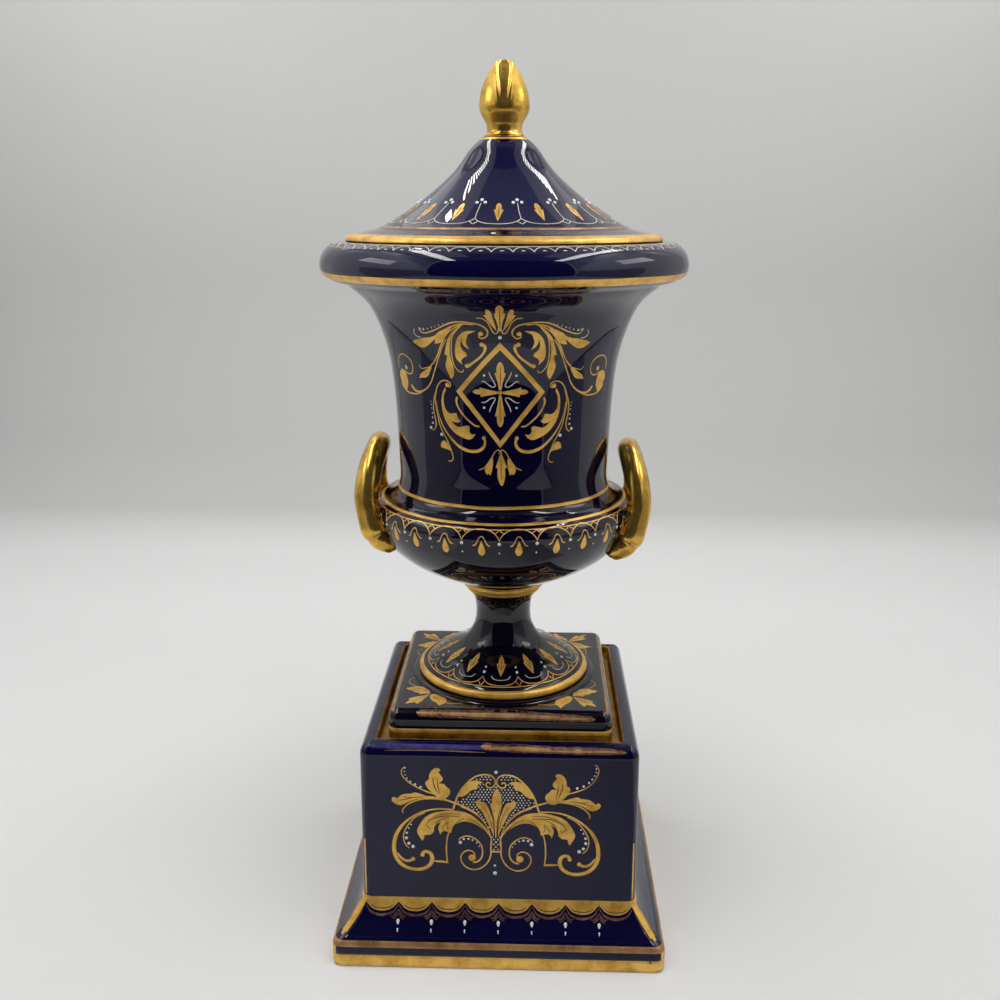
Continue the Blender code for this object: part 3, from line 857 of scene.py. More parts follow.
def decorate_plinth():
    """The panels and the skirt's border, front and back, and the lines all round."""
    shape, beads = Shape(), Shape()
    upper_run = [(BOX_LOW, SKIRT_TOP + 0.3), (BOX_HIGH, PLINTH_TOP - RIM_ROUND - 0.3)] + ROLL_RUN
    skirt_run = SKIRT_RUN + [(BOX_LOW, SKIRT_TOP + 0.3)]
    edge_run = EDGE_RUN + [(BASE_HALF - 1.5, SKIRT_FOOT)]
    for side in (0, 2):
        panel = Side(upper_run, side, 0.5)
        roll = Side(upper_run, side)
        skirt = Side(skirt_run, side)
        if side == 0:
            # the painter set the right half a little lower and its tendril higher
            paint(shape, beads, panel, PANEL + PANEL_SPRAY + PANEL_TENDRIL)
            paint(shape, beads, Side(upper_run, side, 0.5, -0.03), PANEL, -1, PANEL_AXIS)
            paint(shape, beads, Side(upper_run, side, -0.5), PANEL_SPRAY, -1, PANEL_AXIS + 0.4)
            paint(shape, beads, panel, PANEL_TENDRIL_RIGHT + PANEL_MIDDLE)
            fish_scale_ground(beads, panel)
            shape.streak(roll, SHEEN_PLACE, (0.5, 1.15, 1.2, 1.1, 0.9), SHEEN, 0.02)
            shape.streak(roll, FRONT_WEAR, (1.1, 1.2, 1.35, 1.2, 1.3, 1.2, 0.6), HAZE, 0.03)
            shape.streak(roll, FRONT_WEAR, (0.6, 0.6, 0.75, 0.5, 0.7, 0.4, 0.15), COPPER, 0.05)
            shape.stroke(roll, FAINT_WEAR, (0.08, 0.2, 0.14, 0.26, 0.1), COPPER, 0.04)
        else:
            for flip in (1, -1):
                paint(shape, beads, panel, PANEL + PANEL_SPRAY + PANEL_TENDRIL, flip, PANEL_AXIS)
            paint(shape, beads, panel, PANEL_MIDDLE)
        half = SKIRT_BAYS // 2
        for k in range(-half, half):
            paint(shape, beads, skirt, skirt_bay((k + 0.5) * SKIRT_BAY))
        for k in range(1 - half, half):
            paint(shape, beads, skirt, skirt_fleur(k * SKIRT_BAY))
    # plain lines round the whole plinth
    top = Turned(skirt_run, 1.0, SKIRT_FOOT).runs[-1]
    shape.square_band(edge_run, BASE_CORNER, 0.35, 3.6, GOLD, 0.05, 4)
    shape.square_band(edge_run, BASE_CORNER, 5.5, 7.1, COPPER, 0.05, 4)
    shape.square_band(skirt_run, BASE_CORNER, top - 1.25, top - 0.1)
    shape.square_band(upper_run + INNER_RUN, BOX_CORNER, 41.05, 41.5, COPPER, 0.03,
                      widest=BOX_HIGH)
    # gilt corners of skirt and base, chips, and the box's gilt edges
    shape.square_band(skirt_run, BASE_CORNER, 0.0, top - 1.0, GOLD, 0.06, 8, corner_spans(1))
    shape.square_band(skirt_run, BASE_CORNER, 0.6, top - 0.9, GOLD, 0.07, 6, corner_spans(2))
    shape.square_band(edge_run, BASE_CORNER, 3.4, 5.7, GOLD, 0.06, 3, corner_spans(1))
    for chip in CHIPS:
        shape.leaf(Side(edge_run[2:6], 0), chip, SHADE, 0.07, 0.2, 0.3)
    edges = [(QUARTER * quarter + step, QUARTER * quarter + step + 1)
             for quarter, step in BOX_EDGES]
    shape.square_band(upper_run, BOX_CORNER, 0.1, 15.0, GOLD, 0.04, 8, edges, BOX_HIGH)
    make_ornament(shape, beads, "plinth")

# ---------------------------------------------------------------- urn

PLATE_HALF, PLATE_TOP, PLATE_BOTTOM = 25.95, 58.97, 51.3
PLATE_ROUND, PLATE_CORNER = 2.4, 2.4

PLATE_ROLL = arc((PLATE_HALF - PLATE_ROUND, PLATE_TOP - PLATE_ROUND), PLATE_ROUND, 0, 90, 12)
STEP_RUN = [(22.7, PLATE_TOP), (22.68, PLATE_TOP + 0.15), (22.5, PLATE_TOP + 0.35),
            (22.15, PLATE_TOP + 0.6), (21.5, PLATE_TOP + 0.72), (20.9, PLATE_TOP + 0.68),
            (20.5, PLATE_TOP + 0.6)]
BEAD_RUN = arc((19.9, 60.5), 1.05, -60, 115, 14)
STEM_RUN = through([(19.2, 61.75), (15.1, 64.5), (9.8, 67.4), (7.25, 71.2), (6.7, 75.2),
                    (7.3, 78.6), (9.1, 81.0)], 12)
COLLAR_RUN = through([(9.3, 81.6), (9.85, 82.0), (10.0, 82.55), (9.95, 83.05), (9.5, 83.35)], 4)
BOWL_RUN = through([(9.2, 83.45), (15.2, 85.5), (21.7, 88.7), (26.6, 92.4), (29.7, 96.8),
                    (31.04, 101.4), (30.75, 103.0)], 12)
SHOULDER_RUN = through([(30.0, 104.1), (28.8, 104.95), (27.2, 105.45), (25.95, 106.2)], 5)
WALL_RUN = through([(25.2, 107.3), (24.85, 108.8), (24.72, 110.8), (24.85, 114.0),
                    (25.5, 128.5), (27.0, 139.6), (30.7, 149.3), (36.2, 154.7)], 12)
LIP_RUN = through([(39.3, 155.4), (41.1, 156.7), (41.85, 158.5), (41.5, 160.6), (40.5, 162.2),
                   (39.2, 163.2), (37.7, 163.75), (36.0, 163.88)], 9)
MOUTH_RUN = through([(34.9, 163.9), (34.0, 163.9), (33.5, 163.2), (33.4, 157.6), (27.3, 148.6),
                     (23.6, 136.5), (21.8, 118.0), (21.7, 108.0)], 8)
FLOOR_RUN = through([(22.5, 106.6), (26.2, 104.2), (27.8, 100.0), (25.6, 94.9), (19.0, 90.6),
                     (9.6, 87.9), (0.0, 87.2)], 8)


def build_urn():
    """The turned vessel, open and empty, with its square foot plate."""
    shape = Shape()
    shape.lathe([(0.0, PLATE_TOP - 0.8), (22.4, PLATE_TOP - 0.8)] + STEP_RUN + BEAD_RUN
                + STEM_RUN + COLLAR_RUN + BOWL_RUN + SHOULDER_RUN + WALL_RUN + LIP_RUN
                + MOUTH_RUN + FLOOR_RUN)
    rings = [(PLATE_HALF - 0.6, PLATE_CORNER - 0.6, PLATE_BOTTOM),
             (PLATE_HALF - 0.15, PLATE_CORNER - 0.15, PLATE_BOTTOM + 0.2)]
    rings += [(PLATE_HALF, PLATE_CORNER, PLATE_BOTTOM + 0.7 + k) for k in range(5)]
    rings += [(p.x, rolled_corner(PLATE_CORNER, PLATE_HALF, p.x), p.y) for p in PLATE_ROLL]
    shape.squares(rings, [BISQUE] * 2 + [GLAZE] * (len(rings) - 2))
    obj = shape.make("urn_porcelain", "urn", (glaze, gold, bisque), "cobalt_porcelain", 38)
    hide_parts("urn")


LEG_Y, LEG_X, TOE = 10.5, 32.0, math.tan(math.radians(2.5))
ARCH_Z, ARCH_RISE, ARCH_LEAN, ARCH_STEPS = 104.1, 11.9, 2.2, 40
HANDLE_RADIUS, AROUND_HANDLE, RIDGE_TURN, NECK_Z = 2.65, 28, math.radians(38), 96.2
# x, y, z and radius down each end of a handle, from its tip
TERMINAL = ((25.2, 10.3, 93.2, 0.7), (26.6, 10.8, 93.5, 1.7), (28.4, 10.9, 94.6, 2.35),
            (29.6, 10.95, 95.9, 2.6), (30.4, 10.9, 97.7, 3.05), (31.3, 10.6, 101.0, 2.95))
# the handles by side: name, and how far above level it stands
HANDLES = {1: ("urn_handle_right", -0.4), -1: ("urn_handle_left", 0.7)}


def handle_path():
    """Points and radii of a handle's middle line, from the front tip to the back one."""
    arch = []
    for step in range(ARCH_STEPS + 1):
        angle = math.pi * step / ARCH_STEPS
        rise = math.sin(angle)
        arch.append(Vector((LEG_X - ARCH_LEAN * rise ** 2, -LEG_Y * math.cos(angle),
                            ARCH_Z + ARCH_RISE * rise, HANDLE_RADIUS + 0.12 * (1 - rise))))
    front = [(x, -y, z, r) for x, y, z, r in TERMINAL]
    path = through(front + arch[:1], 8)[:-1] + arch
    path += through(arch[-1:] + list(reversed(TERMINAL)), 8)[1:]
    for point in path:
        point.x += point.y * TOE
    return path


def build_handle(side):
    """A strap handle with a ridge along its outer face and leaf-like ends."""
    name, above_level = HANDLES[side]
    path = handle_path()
    points = [Vector(p[:3]) for p in path]
    last = len(path) - 1
    verts = []
    for i, p in enumerate(points):
        along = (points[min(i + 1, last)] - points[max(i - 1, 0)]).normalized()
        outward = Vector((1.0, 0.0, -0.12))
        outward = (outward - along * outward.dot(along)).normalized()
        across = along.cross(outward)
        # the front leg's ridge faces the front, the back leg's the back
        turn = RIDGE_TURN * math.cos(math.pi * i / last)
        near_end = min(i, last - i) / last < 0.2
        neck = math.exp(-((p.z - NECK_Z) / 0.55) ** 2) if near_end else 0.0
        for k in range(AROUND_HANDLE):
            angle = math.tau * k / AROUND_HANDLE
            off_ridge = math.remainder(angle + turn, math.tau)
            ridge = math.exp(-(off_ridge / 0.26) ** 2)
            flank = math.exp(-((abs(off_ridge) - 0.62) / 0.3) ** 2)
            r = path[i][3] * (1.0 + 0.085 * ridge - 0.05 * flank - 0.07 * neck)
            flat = 1.0 - 0.06 * abs(math.sin(angle))
            q = p + outward * (r * math.cos(angle)) + across * (r * flat * math.sin(angle))
            ripple = 0.05 * noise.noise(q * 0.35) + 0.025 * noise.noise(q * 1.1)
            q += (q - p).normalized() * ripple
            verts.append(Vector((side * q.x, q.y, q.z + above_level)))
    ends = [tuple(range(AROUND_HANDLE)),
            tuple(last * AROUND_HANDLE + k for k in reversed(range(AROUND_HANDLE)))]
    shape = Shape()
    shape.add(verts, ends + tube(last + 1, AROUND_HANDLE, flipped=True), GOLD)
    shape.make(name, "urn", (thick_gold,), "gilding", 60)


RHOMBUS = (
    ("leaf", ((0.0, 144.0, 1), (-4.7, 138.6), (-9.55, 133.1, 1), (-8.15, 133.1, 1), (-4.1, 137.8),
     (0.0, 142.4, 1))),
    ("leaf", ((-9.55, 133.1, 1), (-4.7, 127.0), (0.0, 121.0, 1), (0.0, 122.5, 1), (-4.1, 127.9),
     (-8.15, 133.1, 1))),
)
FLEURON = (
    ("leaf", mirrored(0, ((0.25, 133.5, 1), (0.55, 135.4), (0.85, 136.4), (1.15, 137.4, 1),
     (0.75, 137.5, 1), (0.75, 138.6), (0.4, 139.5), (0, 139.85)))),
    ("leaf", mirrored(0, ((0.25, 132.7, 1), (0.55, 130.6), (0.85, 129.2), (1.15, 128.0, 1),
     (0.75, 128.0, 1), (0.7, 126.8), (0.4, 125.9), (0, 125.6)))),
    ("vein", VEIN, ((0.0, 134.6), (0.05, 136.8), (0.0, 138.9))),
    ("vein", VEIN, ((0.0, 131.7), (-0.05, 129.0), (0.0, 126.6))),
    ("vein", 0.16, ((-0.55, 133.15), (0.0, 133.75), (0.55, 133.15), (0.0, 132.55),
     (-0.55, 133.15))),
    ("ball", ((0.0, 133.15, 0.8),)),
)
FLEURON_SIDE = (
    ("leaf", ((-0.3, 133.35, 1), (-2.4, 133.75), (-4.4, 134.25, 1), (-4.3, 133.8, 1),
     (-5.2, 133.75), (-5.95, 133.25), (-5.2, 132.75), (-4.2, 132.7, 1), (-4.1, 132.15, 1),
     (-2.2, 132.6), (-0.3, 132.95, 1))),
    ("pale", 0.26, ((-2.3, 137.6), (-2.0, 136.7), (-1.4, 135.6), (-1.0, 134.75), (-1.25, 134.35),
     (-2.0, 134.5), (-2.9, 135.25), (-3.4, 135.6), (-3.85, 135.45))),
    ("pale", 0.26, ((-2.3, 128.9), (-2.05, 129.8), (-1.45, 130.9), (-1.05, 131.7), (-1.3, 132.05),
     (-2.0, 131.85), (-2.9, 131.2), (-3.5, 130.9), (-4.0, 131.0))),
    ("dots", ((-3.3, 136.85, 0.55), (-3.45, 129.8, 0.55))),
)
BODY = (
    # bars beside the rhombus
    ("line", (0.95, 0.6, 0.5, 0.5, 0.5, 0.85), ((-3.45, 143.65), (-2.85, 143.1), (-3.0, 142.1),
     (-3.8, 140.9), (-5.0, 139.85), (-6.2, 139.0), (-6.75, 138.8))),
    ("ball", ((-3.45, 143.55, 0.95), (-6.75, 138.8, 0.95), (-3.5, 145.85, 0.95),
     (-11.6, 134.35, 1.0), (-3.6, 123.15, 0.9))),
    ("line", (0.6, 0.45, 0.42, 0.45, 0.4), ((-9.4, 131.9), (-9.65, 130.9), (-9.2, 129.5),
     (-8.1, 127.9), (-6.7, 126.6), (-5.5, 125.75), (-4.5, 125.65))),
    # upper scroll, running out from its volute
    ("line", (0.3, 0.34, 0.34, 0.3, 0.26), ((-3.9, 145.55), (-3.85, 145.05), (-3.2, 144.85),
     (-2.45, 145.35), (-2.2, 146.2), (-2.6, 147.1), (-3.5, 147.75), (-4.7, 148.05), (-6.4, 148.3),
     (-7.9, 148.25), (-9.4, 147.85), (-11.1, 147.0), (-12.5, 146.3), (-13.9, 145.75),
     (-15.1, 145.45), (-15.9, 145.65), (-16.1, 146.0))),
    ("line", (0.25, 0.3, 0.3), ((-4.7, 147.75), (-6.6, 147.9), (-8.3, 147.5), (-10.0, 146.7))),
    ("leaf", ((-9.6, 147.0, 1), (-11.7, 145.95), (-12.9, 145.05), (-14.2, 144.6), (-15.6, 144.4),
     (-17.2, 143.95), (-18.2, 143.75), (-19.0, 143.2, 1), (-18.4, 142.9), (-17.6, 142.4),
     (-16.6, 142.2), (-15.7, 142.35), (-14.7, 142.95), (-13.6, 143.8), (-12.4, 144.7),
     (-11.2, 145.6))),
    ("leaf", ((-8.9, 147.1, 1), (-11.0, 146.0), (-12.4, 144.9), (-13.3, 143.3, 1), (-12.4, 143.4),
     (-11.4, 143.9), (-10.4, 145.2))),
    ("pale", 0.24, ((-17.3, 146.25), (-17.75, 145.75), (-17.75, 145.1), (-17.2, 144.55),
     (-16.3, 144.45))),
    ("dots", ((-16.0, 146.35, 0.6), (-15.1, 146.3, 0.55), (-14.05, 146.5, 0.36),
     (-13.1, 146.8, 0.33), (-12.3, 147.05, 0.3), (-11.4, 147.4, 0.26), (-10.5, 147.75, 0.22))),
    # the long hanging leaf and its curl
    ("leaf", ((-6.6, 147.9, 1), (-8.4, 146.6), (-9.9, 144.9), (-10.7, 143.1), (-11.2, 141.7),
     (-11.4, 140.95, 1), (-10.9, 141.1, 1), (-11.0, 140.1), (-11.5, 138.9), (-11.3, 137.5),
     (-10.5, 135.8, 1), (-10.0, 136.3), (-9.7, 137.4), (-9.85, 138.8), (-10.1, 140.4),
     (-10.1, 142.3), (-9.5, 144.4), (-8.2, 146.1))),
    ("line", (0.2, 0.26, 0.26, 0.24), ((-7.4, 147.2), (-8.9, 145.4), (-9.6, 143.2), (-9.8, 141.0),
     (-9.6, 138.9), (-8.9, 137.8), (-8.2, 137.35), (-7.7, 137.55), (-7.65, 138.0))),
    # the two leaves curling inside it
    ("leaf", ((-4.4, 146.45, 1), (-6.4, 146.3), (-7.9, 145.1), (-8.6, 143.6), (-9.0, 141.8),
     (-8.9, 140.3), (-8.4, 139.7), (-7.75, 139.05, 1), (-7.9, 139.9, 1), (-7.4, 140.5),
     (-6.65, 140.9, 1), (-6.6, 141.5), (-7.3, 142.1), (-7.7, 143.0), (-7.5, 144.2), (-6.7, 145.2),
     (-5.4, 145.95))),
    ("leaf", ((-5.6, 146.15, 1), (-6.85, 145.2), (-7.3, 144.1), (-6.9, 143.1), (-6.0, 142.4, 1),
     (-6.35, 143.2), (-6.5, 144.1), (-6.1, 145.3))),
    # two stems sweeping out to the side
    ("line", (0.26, 0.3, 0.3, 0.3, 0.34), ((-6.4, 147.85), (-8.2, 147.1), (-9.95, 145.75),
     (-11.4, 143.8), (-12.3, 142.3), (-13.2, 140.6), (-14.35, 139.1), (-15.3, 138.3))),
    ("leaf", ((-15.2, 138.45, 1), (-16.1, 137.7), (-17.6, 136.8), (-18.5, 136.2),
     (-19.1, 135.15, 1), (-18.4, 135.35), (-17.3, 135.45), (-16.4, 135.9), (-15.8, 136.8),
     (-15.1, 137.9))),
    ("line", 0.24, ((-15.4, 138.1), (-16.8, 137.65), (-17.9, 137.4), (-18.35, 137.65),
     (-18.6, 138.15))),
    ("line", (0.26, 0.28, 0.3, 0.34, 0.45, 0.65), ((-10.4, 144.5), (-11.7, 142.7), (-12.5, 141.1),
     (-13.3, 139.6), (-14.05, 138.0), (-14.8, 136.5), (-15.5, 135.0), (-16.7, 133.5),
     (-18.2, 132.5), (-20.0, 132.05), (-21.4, 132.4), (-22.3, 133.3))),
    ("line", (0.26, 0.34, 0.42, 0.4), ((-17.6, 132.7), (-19.9, 131.65), (-22.0, 131.35),
     (-24.0, 131.5), (-25.8, 132.3), (-26.7, 133.3))),
    ("leaf", ((-24.4, 131.9, 1), (-23.6, 133.4), (-23.7, 134.9), (-24.3, 136.1), (-25.6, 136.5),
     (-26.8, 135.7), (-27.1, 134.5, 1), (-26.2, 133.2), (-25.4, 132.1))),
    ("line", (0.3, 0.32, 0.3, 0.26), ((-24.2, 136.3), (-23.3, 135.8), (-22.2, 135.75),
     (-21.3, 136.3), (-20.9, 137.3), (-21.0, 138.5), (-21.8, 139.4), (-23.2, 139.95),
     (-24.8, 139.8), (-26.1, 138.95), (-26.7, 137.7), (-26.6, 136.6))),
    ("ball", ((-23.4, 137.1, 1.05),)),
    # lower scroll
    ("line", (0.26, 0.3, 0.32, 0.32, 0.28), ((-11.3, 133.85), (-10.85, 134.1), (-10.8, 134.7),
     (-11.25, 135.15), (-12.15, 135.3), (-13.2, 134.95), (-14.05, 134.0), (-14.6, 132.8),
     (-15.25, 131.2), (-15.6, 129.4), (-15.5, 127.6), (-15.2, 126.2), (-15.2, 125.0),
     (-15.7, 124.1), (-16.35, 123.85))),
    ("line", (0.24, 0.28, 0.26, 0.24), ((-14.4, 133.0), (-14.95, 131.2), (-14.95, 129.4),
     (-14.6, 127.4), (-14.1, 125.3), (-13.2, 123.5), (-12.2, 121.8), (-11.4, 120.0), (-10.9, 118.5),
     (-11.1, 117.65), (-11.85, 117.3), (-12.15, 117.5))),
    ("line", (0.24, 0.28, 0.34, 0.6, 0.8, 0.75, 0.55), ((-14.8, 130.6), (-14.4, 128.0),
     (-13.7, 126.0), (-12.6, 124.1), (-11.1, 122.35), (-9.35, 120.95), (-7.6, 120.2), (-6.1, 120.0),
     (-4.65, 120.3), (-3.6, 121.2), (-3.35, 122.3), (-3.6, 123.1))),
    ("leaf", ((-12.2, 133.8, 1), (-12.95, 132.4), (-13.3, 130.9), (-13.3, 129.3), (-12.9, 127.3),
     (-12.0, 125.6), (-10.6, 124.1), (-9.05, 123.2), (-7.1, 122.6), (-6.0, 123.1),
     (-5.4, 123.95, 1), (-6.4, 123.8), (-6.85, 124.5), (-6.75, 125.35), (-7.25, 125.7),
     (-8.2, 125.5), (-9.35, 125.25), (-10.4, 125.8), (-11.5, 127.0), (-12.3, 128.5), (-12.7, 130.0),
     (-12.65, 131.8), (-12.0, 133.2))),
    ("leaf", ((-12.9, 130.2, 1), (-12.2, 128.7), (-11.4, 128.1), (-10.5, 128.2), (-9.8, 128.3),
     (-9.55, 127.7), (-9.35, 127.1), (-8.85, 126.75, 1), (-9.35, 126.2), (-10.5, 126.3),
     (-11.4, 126.8), (-12.2, 127.7), (-12.7, 128.8))),
    ("dots", ((-16.65, 124.4, 0.7), (-16.05, 125.5, 0.5), (-16.05, 126.7, 0.4),
     (-16.05, 127.7, 0.36), (-16.1, 128.8, 0.32), (-16.2, 129.6, 0.26), (-16.25, 130.3, 0.22),
     (-13.7, 123.2, 0.75))),
    ("leaf", ((-14.1, 120.3, 1), (-13.95, 121.3), (-13.2, 121.9), (-12.4, 121.5), (-11.7, 120.6),
     (-11.05, 119.5, 1), (-12.0, 119.95), (-13.05, 120.1))),
    # fleuron above, and the one that hangs below
    ("leaf", ((-0.6, 146.5, 1), (-1.3, 147.5), (-2.0, 148.6), (-2.75, 149.9, 1), (-2.3, 149.9),
     (-2.35, 150.9), (-1.8, 151.1), (-1.35, 150.2, 1), (-1.15, 149.0), (-0.85, 147.8))),
    ("line", (0.24, 0.28, 0.24), ((-4.0, 149.2), (-3.0, 149.15), (-2.1, 148.3), (-1.6, 147.1),
     (-1.1, 146.05), (-0.6, 145.95), (-0.3, 146.6), (-0.15, 147.6))),
    ("leaf", ((-1.75, 119.1, 1), (-2.4, 118.0), (-3.1, 116.9), (-3.45, 115.9), (-2.95, 114.9),
     (-2.55, 115.3, 1), (-2.2, 114.8, 1), (-1.85, 115.8), (-1.65, 117.0), (-1.6, 118.2))),
    ("line", (0.22, 0.26, 0.22), ((-4.8, 115.95), (-3.75, 116.35), (-2.9, 117.3), (-1.9, 118.8),
     (-1.2, 120.0), (-0.5, 120.55), (0.1, 120.2), (0.3, 119.6))),
)
BODY_MIDDLE = (
    ("leaf", mirrored(0, ((0, 146.2, 1), (0.35, 147.6), (0.6, 148.9, 1), (0.8, 149.3),
     (0.95, 150.2, 1), (0.6, 150.4, 1), (0.65, 151.3), (0, 152.1)))),
    ("vein", VEIN, ((0.0, 147.2), (0.05, 149.4), (0.0, 151.2))),
    ("leaf", ((0.2, 119.9, 1), (-0.25, 118.9), (-0.7, 117.5), (-1.05, 116.5, 1), (-0.6, 116.5, 1),
     (-0.6, 114.6), (-0.25, 113.3), (0.35, 112.4), (0.85, 113.3), (1.1, 114.8), (1.05, 116.5, 1),
     (1.5, 116.5, 1), (1.15, 117.6), (0.65, 118.9))),
    ("vein", (0.1, 0.26, 0.1), ((0.2, 118.8), (0.15, 116.4), (0.3, 113.8))),
    ("dots", ((0.0, 145.1, 0.75),)),
)
PLAIN_BACK = (
    ("line", (0.3, 0.34, 0.3, 0.26), ((-2.2, 146.2), (-2.9, 147.6), (-5.2, 148.2), (-8.0, 147.4),
     (-10.8, 145.0), (-12.9, 141.4), (-13.7, 137.6))),
    ("leaf", ((-12.0, 143.0, 1), (-12.6, 140.0), (-14.4, 137.4), (-13.6, 134.6, 1), (-12.0, 136.6),
     (-11.7, 139.6))),
    ("line", (0.26, 0.5, 0.7), ((-13.2, 133.6), (-13.3, 129.0), (-11.2, 124.0), (-7.4, 121.0),
     (-4.2, 121.4))),
    ("dots", ((-14.6, 132.2, 0.6), (-14.5, 130.8, 0.45), (-14.2, 129.5, 0.35))),
)

BOWL_BAYS, FOOT_BAYS, LIP_ARCHES = 25, 13, 60
# where u is measured on each turned part
BOWL_RADIUS, FOOT_RADIUS, LIP_RADIUS = 31.0, 19.0, 41.7
# where the painter's hand strayed from even bays near the front, by bay
CUSP_SHIFTS = {22: -0.2, 23: -0.4, 24: -0.5, 1: 0.45, 2: 0.55, 3: -0.3}
DROP_SHIFTS = {22: -0.9, 23: -0.6, 0: 0.4, 1: 1.2, 2: 0.5}
FOOT_LEAVES = (-57.3, -30.2, -0.3, 28.0, 56.1)    # degrees, in front; the rest are even


def bowl_band(shape, beads):
    """Arches, hooded drops and enamel dots round the bowl, hung from the shoulder line."""
    bowl = Turned(BOWL_RUN + SHOULDER_RUN[:12], BOWL_RADIUS, 104.8)
    bay = math.tau * BOWL_RADIUS / BOWL_BAYS
    for k in range(BOWL_BAYS):
        u = bay * k + CUSP_SHIFTS.get(k, 0.0)
        after = bay * (k + 1) + CUSP_SHIFTS.get((k + 1) % BOWL_BAYS, 0.0)
        m = bay * (k + 0.5) + DROP_SHIFTS.get(k, 0.0)
        hang = u + (after - u) / 2
        paint(shape, beads, bowl, (
            ("line", (0.3, 0.26, 0.3), swag(u, after, (
                (0, -3.8), (0.35, -3.0), (1.2, -2.05), (2.4, -1.4)), (hang, -1.15))),
            ("line", 0.2, mirrored(u, ((1.05, -2.15), (0.4, -1.75), (0, -1.3)))),
            ("line", (0.42, 0.24, 0.26, 0.26, 0.24, 0.42), mirrored(m, (
                (1.95, -5.0), (1.45, -4.9), (1.05, -4.3), (0.6, -3.3), (0, -2.8)))),
            ("leaf", mirrored(m, ((0, -3.85, 1), (0.45, -5.0), (0.82, -6.3), (0.5, -7.2),
                                  (0, -7.5)))),
            ("dots", ((u, -4.5, 0.78), (u, -6.75, 0.4))),
        ))
    shape.band(bowl, -1.42, -1.16, GOLD, 0.05, 1, 0.03, 1.0)
    shape.band(bowl, -0.3, 0.5, GOLD, 0.06, 3, 0.05, 2.0)


def foot_band(shape, beads):
    """Leaves, double swags and dots round the spreading foot."""
    foot = Turned(BEAD_RUN[6:] + STEM_RUN, FOOT_RADIUS, 61.75)
    middles = [math.radians(a) for a in FOOT_LEAVES]
    even = FOOT_BAYS - len(middles)
    gap = (math.tau - (middles[-1] - middles[0])) / (even + 1)
    middles += [middles[-1] + gap * k for k in range(1, even + 1)]
    for k, here in enumerate(middles):
        after = middles[(k + 1) % FOOT_BAYS] + (math.tau if k == FOOT_BAYS - 1 else 0.0)
        before = middles[k - 1] - (math.tau if k == 0 else 0.0)
        m = here * FOOT_RADIUS
        a = (before + here) / 2 * FOOT_RADIUS
        b = (after + here) / 2 * FOOT_RADIUS
        h = (b - a) / 2
        paint(shape, beads, foot, (
            ("line", (0.22, 0.24, 0.22), swag(a, b, ((0, 3.4), (0.75, 2.2), (2.2, 1.3)),
                                              (m, 0.95))),
            ("line", 0.2, mirrored(b, ((0.85, 2.0), (0.35, 1.35), (0, 0.75)))),
            ("pale", (0.26, 0.16, 0.16, 0.26), mirrored(m, (
                (0.55 * h, 3.6), (0.45 * h, 2.9), (0.25 * h, 2.5), (0, 2.4)))),
            ("leaf", mirrored(m, ((0, 3.5, 1), (0.65, 4.8), (1.15, 5.9), (1.6, 7.2, 1),
                                  (1.0, 7.3, 1), (0.95, 8.4), (0.5, 9.3), (0, 9.9, 1)))),
            ("vein", (0.12, 0.26, 0.12), ((m, 4.6), (m + 0.1, 6.4), (m, 8.6))),
            ("vein", (0.2, 0.12), ((m - 1.0, 6.9), (m - 0.2, 5.6))),
            ("vein", (0.2, 0.12), ((m + 1.0, 6.9), (m + 0.25, 5.6))),
            ("dots", ((b, 4.5, 0.8), (b, 6.0, 0.62))),
        ))
    shape.band(foot, 0.42, 0.7, GOLD, 0.05, 1, 0.02, 3.0)


def lip_band(shape, beads):
    """The fine arcaded line on top of the rolled lip, and the gilt line under the roll."""
    lip = Turned(WALL_RUN[-4:] + LIP_RUN, LIP_RADIUS, 156.8)
    pitch = math.tau * LIP_RADIUS / LIP_ARCHES
    for k in range(LIP_ARCHES):
        u = pitch * k - pitch / 2 + 0.8
        m = u + pitch / 2
        paint(shape, beads, lip, (
            ("pale", (0.24, 0.19, 0.24), swag(u, u + pitch, ((0, 6.6), (0.4, 7.3), (1.1, 8.0)),
                                              (m, 8.3))),
            ("pale", (0.12, 0.34, 0.12), mirrored(m, ((0.45, 6.9), (0, 6.95)))),
        ))
    beads.band(lip, 8.75, 8.98, PALE, 0.04, 1, 0.02, 4.0)
    shape.band(lip, -1.5, 0.7, GOLD, 0.06, 4, 0.08, 5.0)


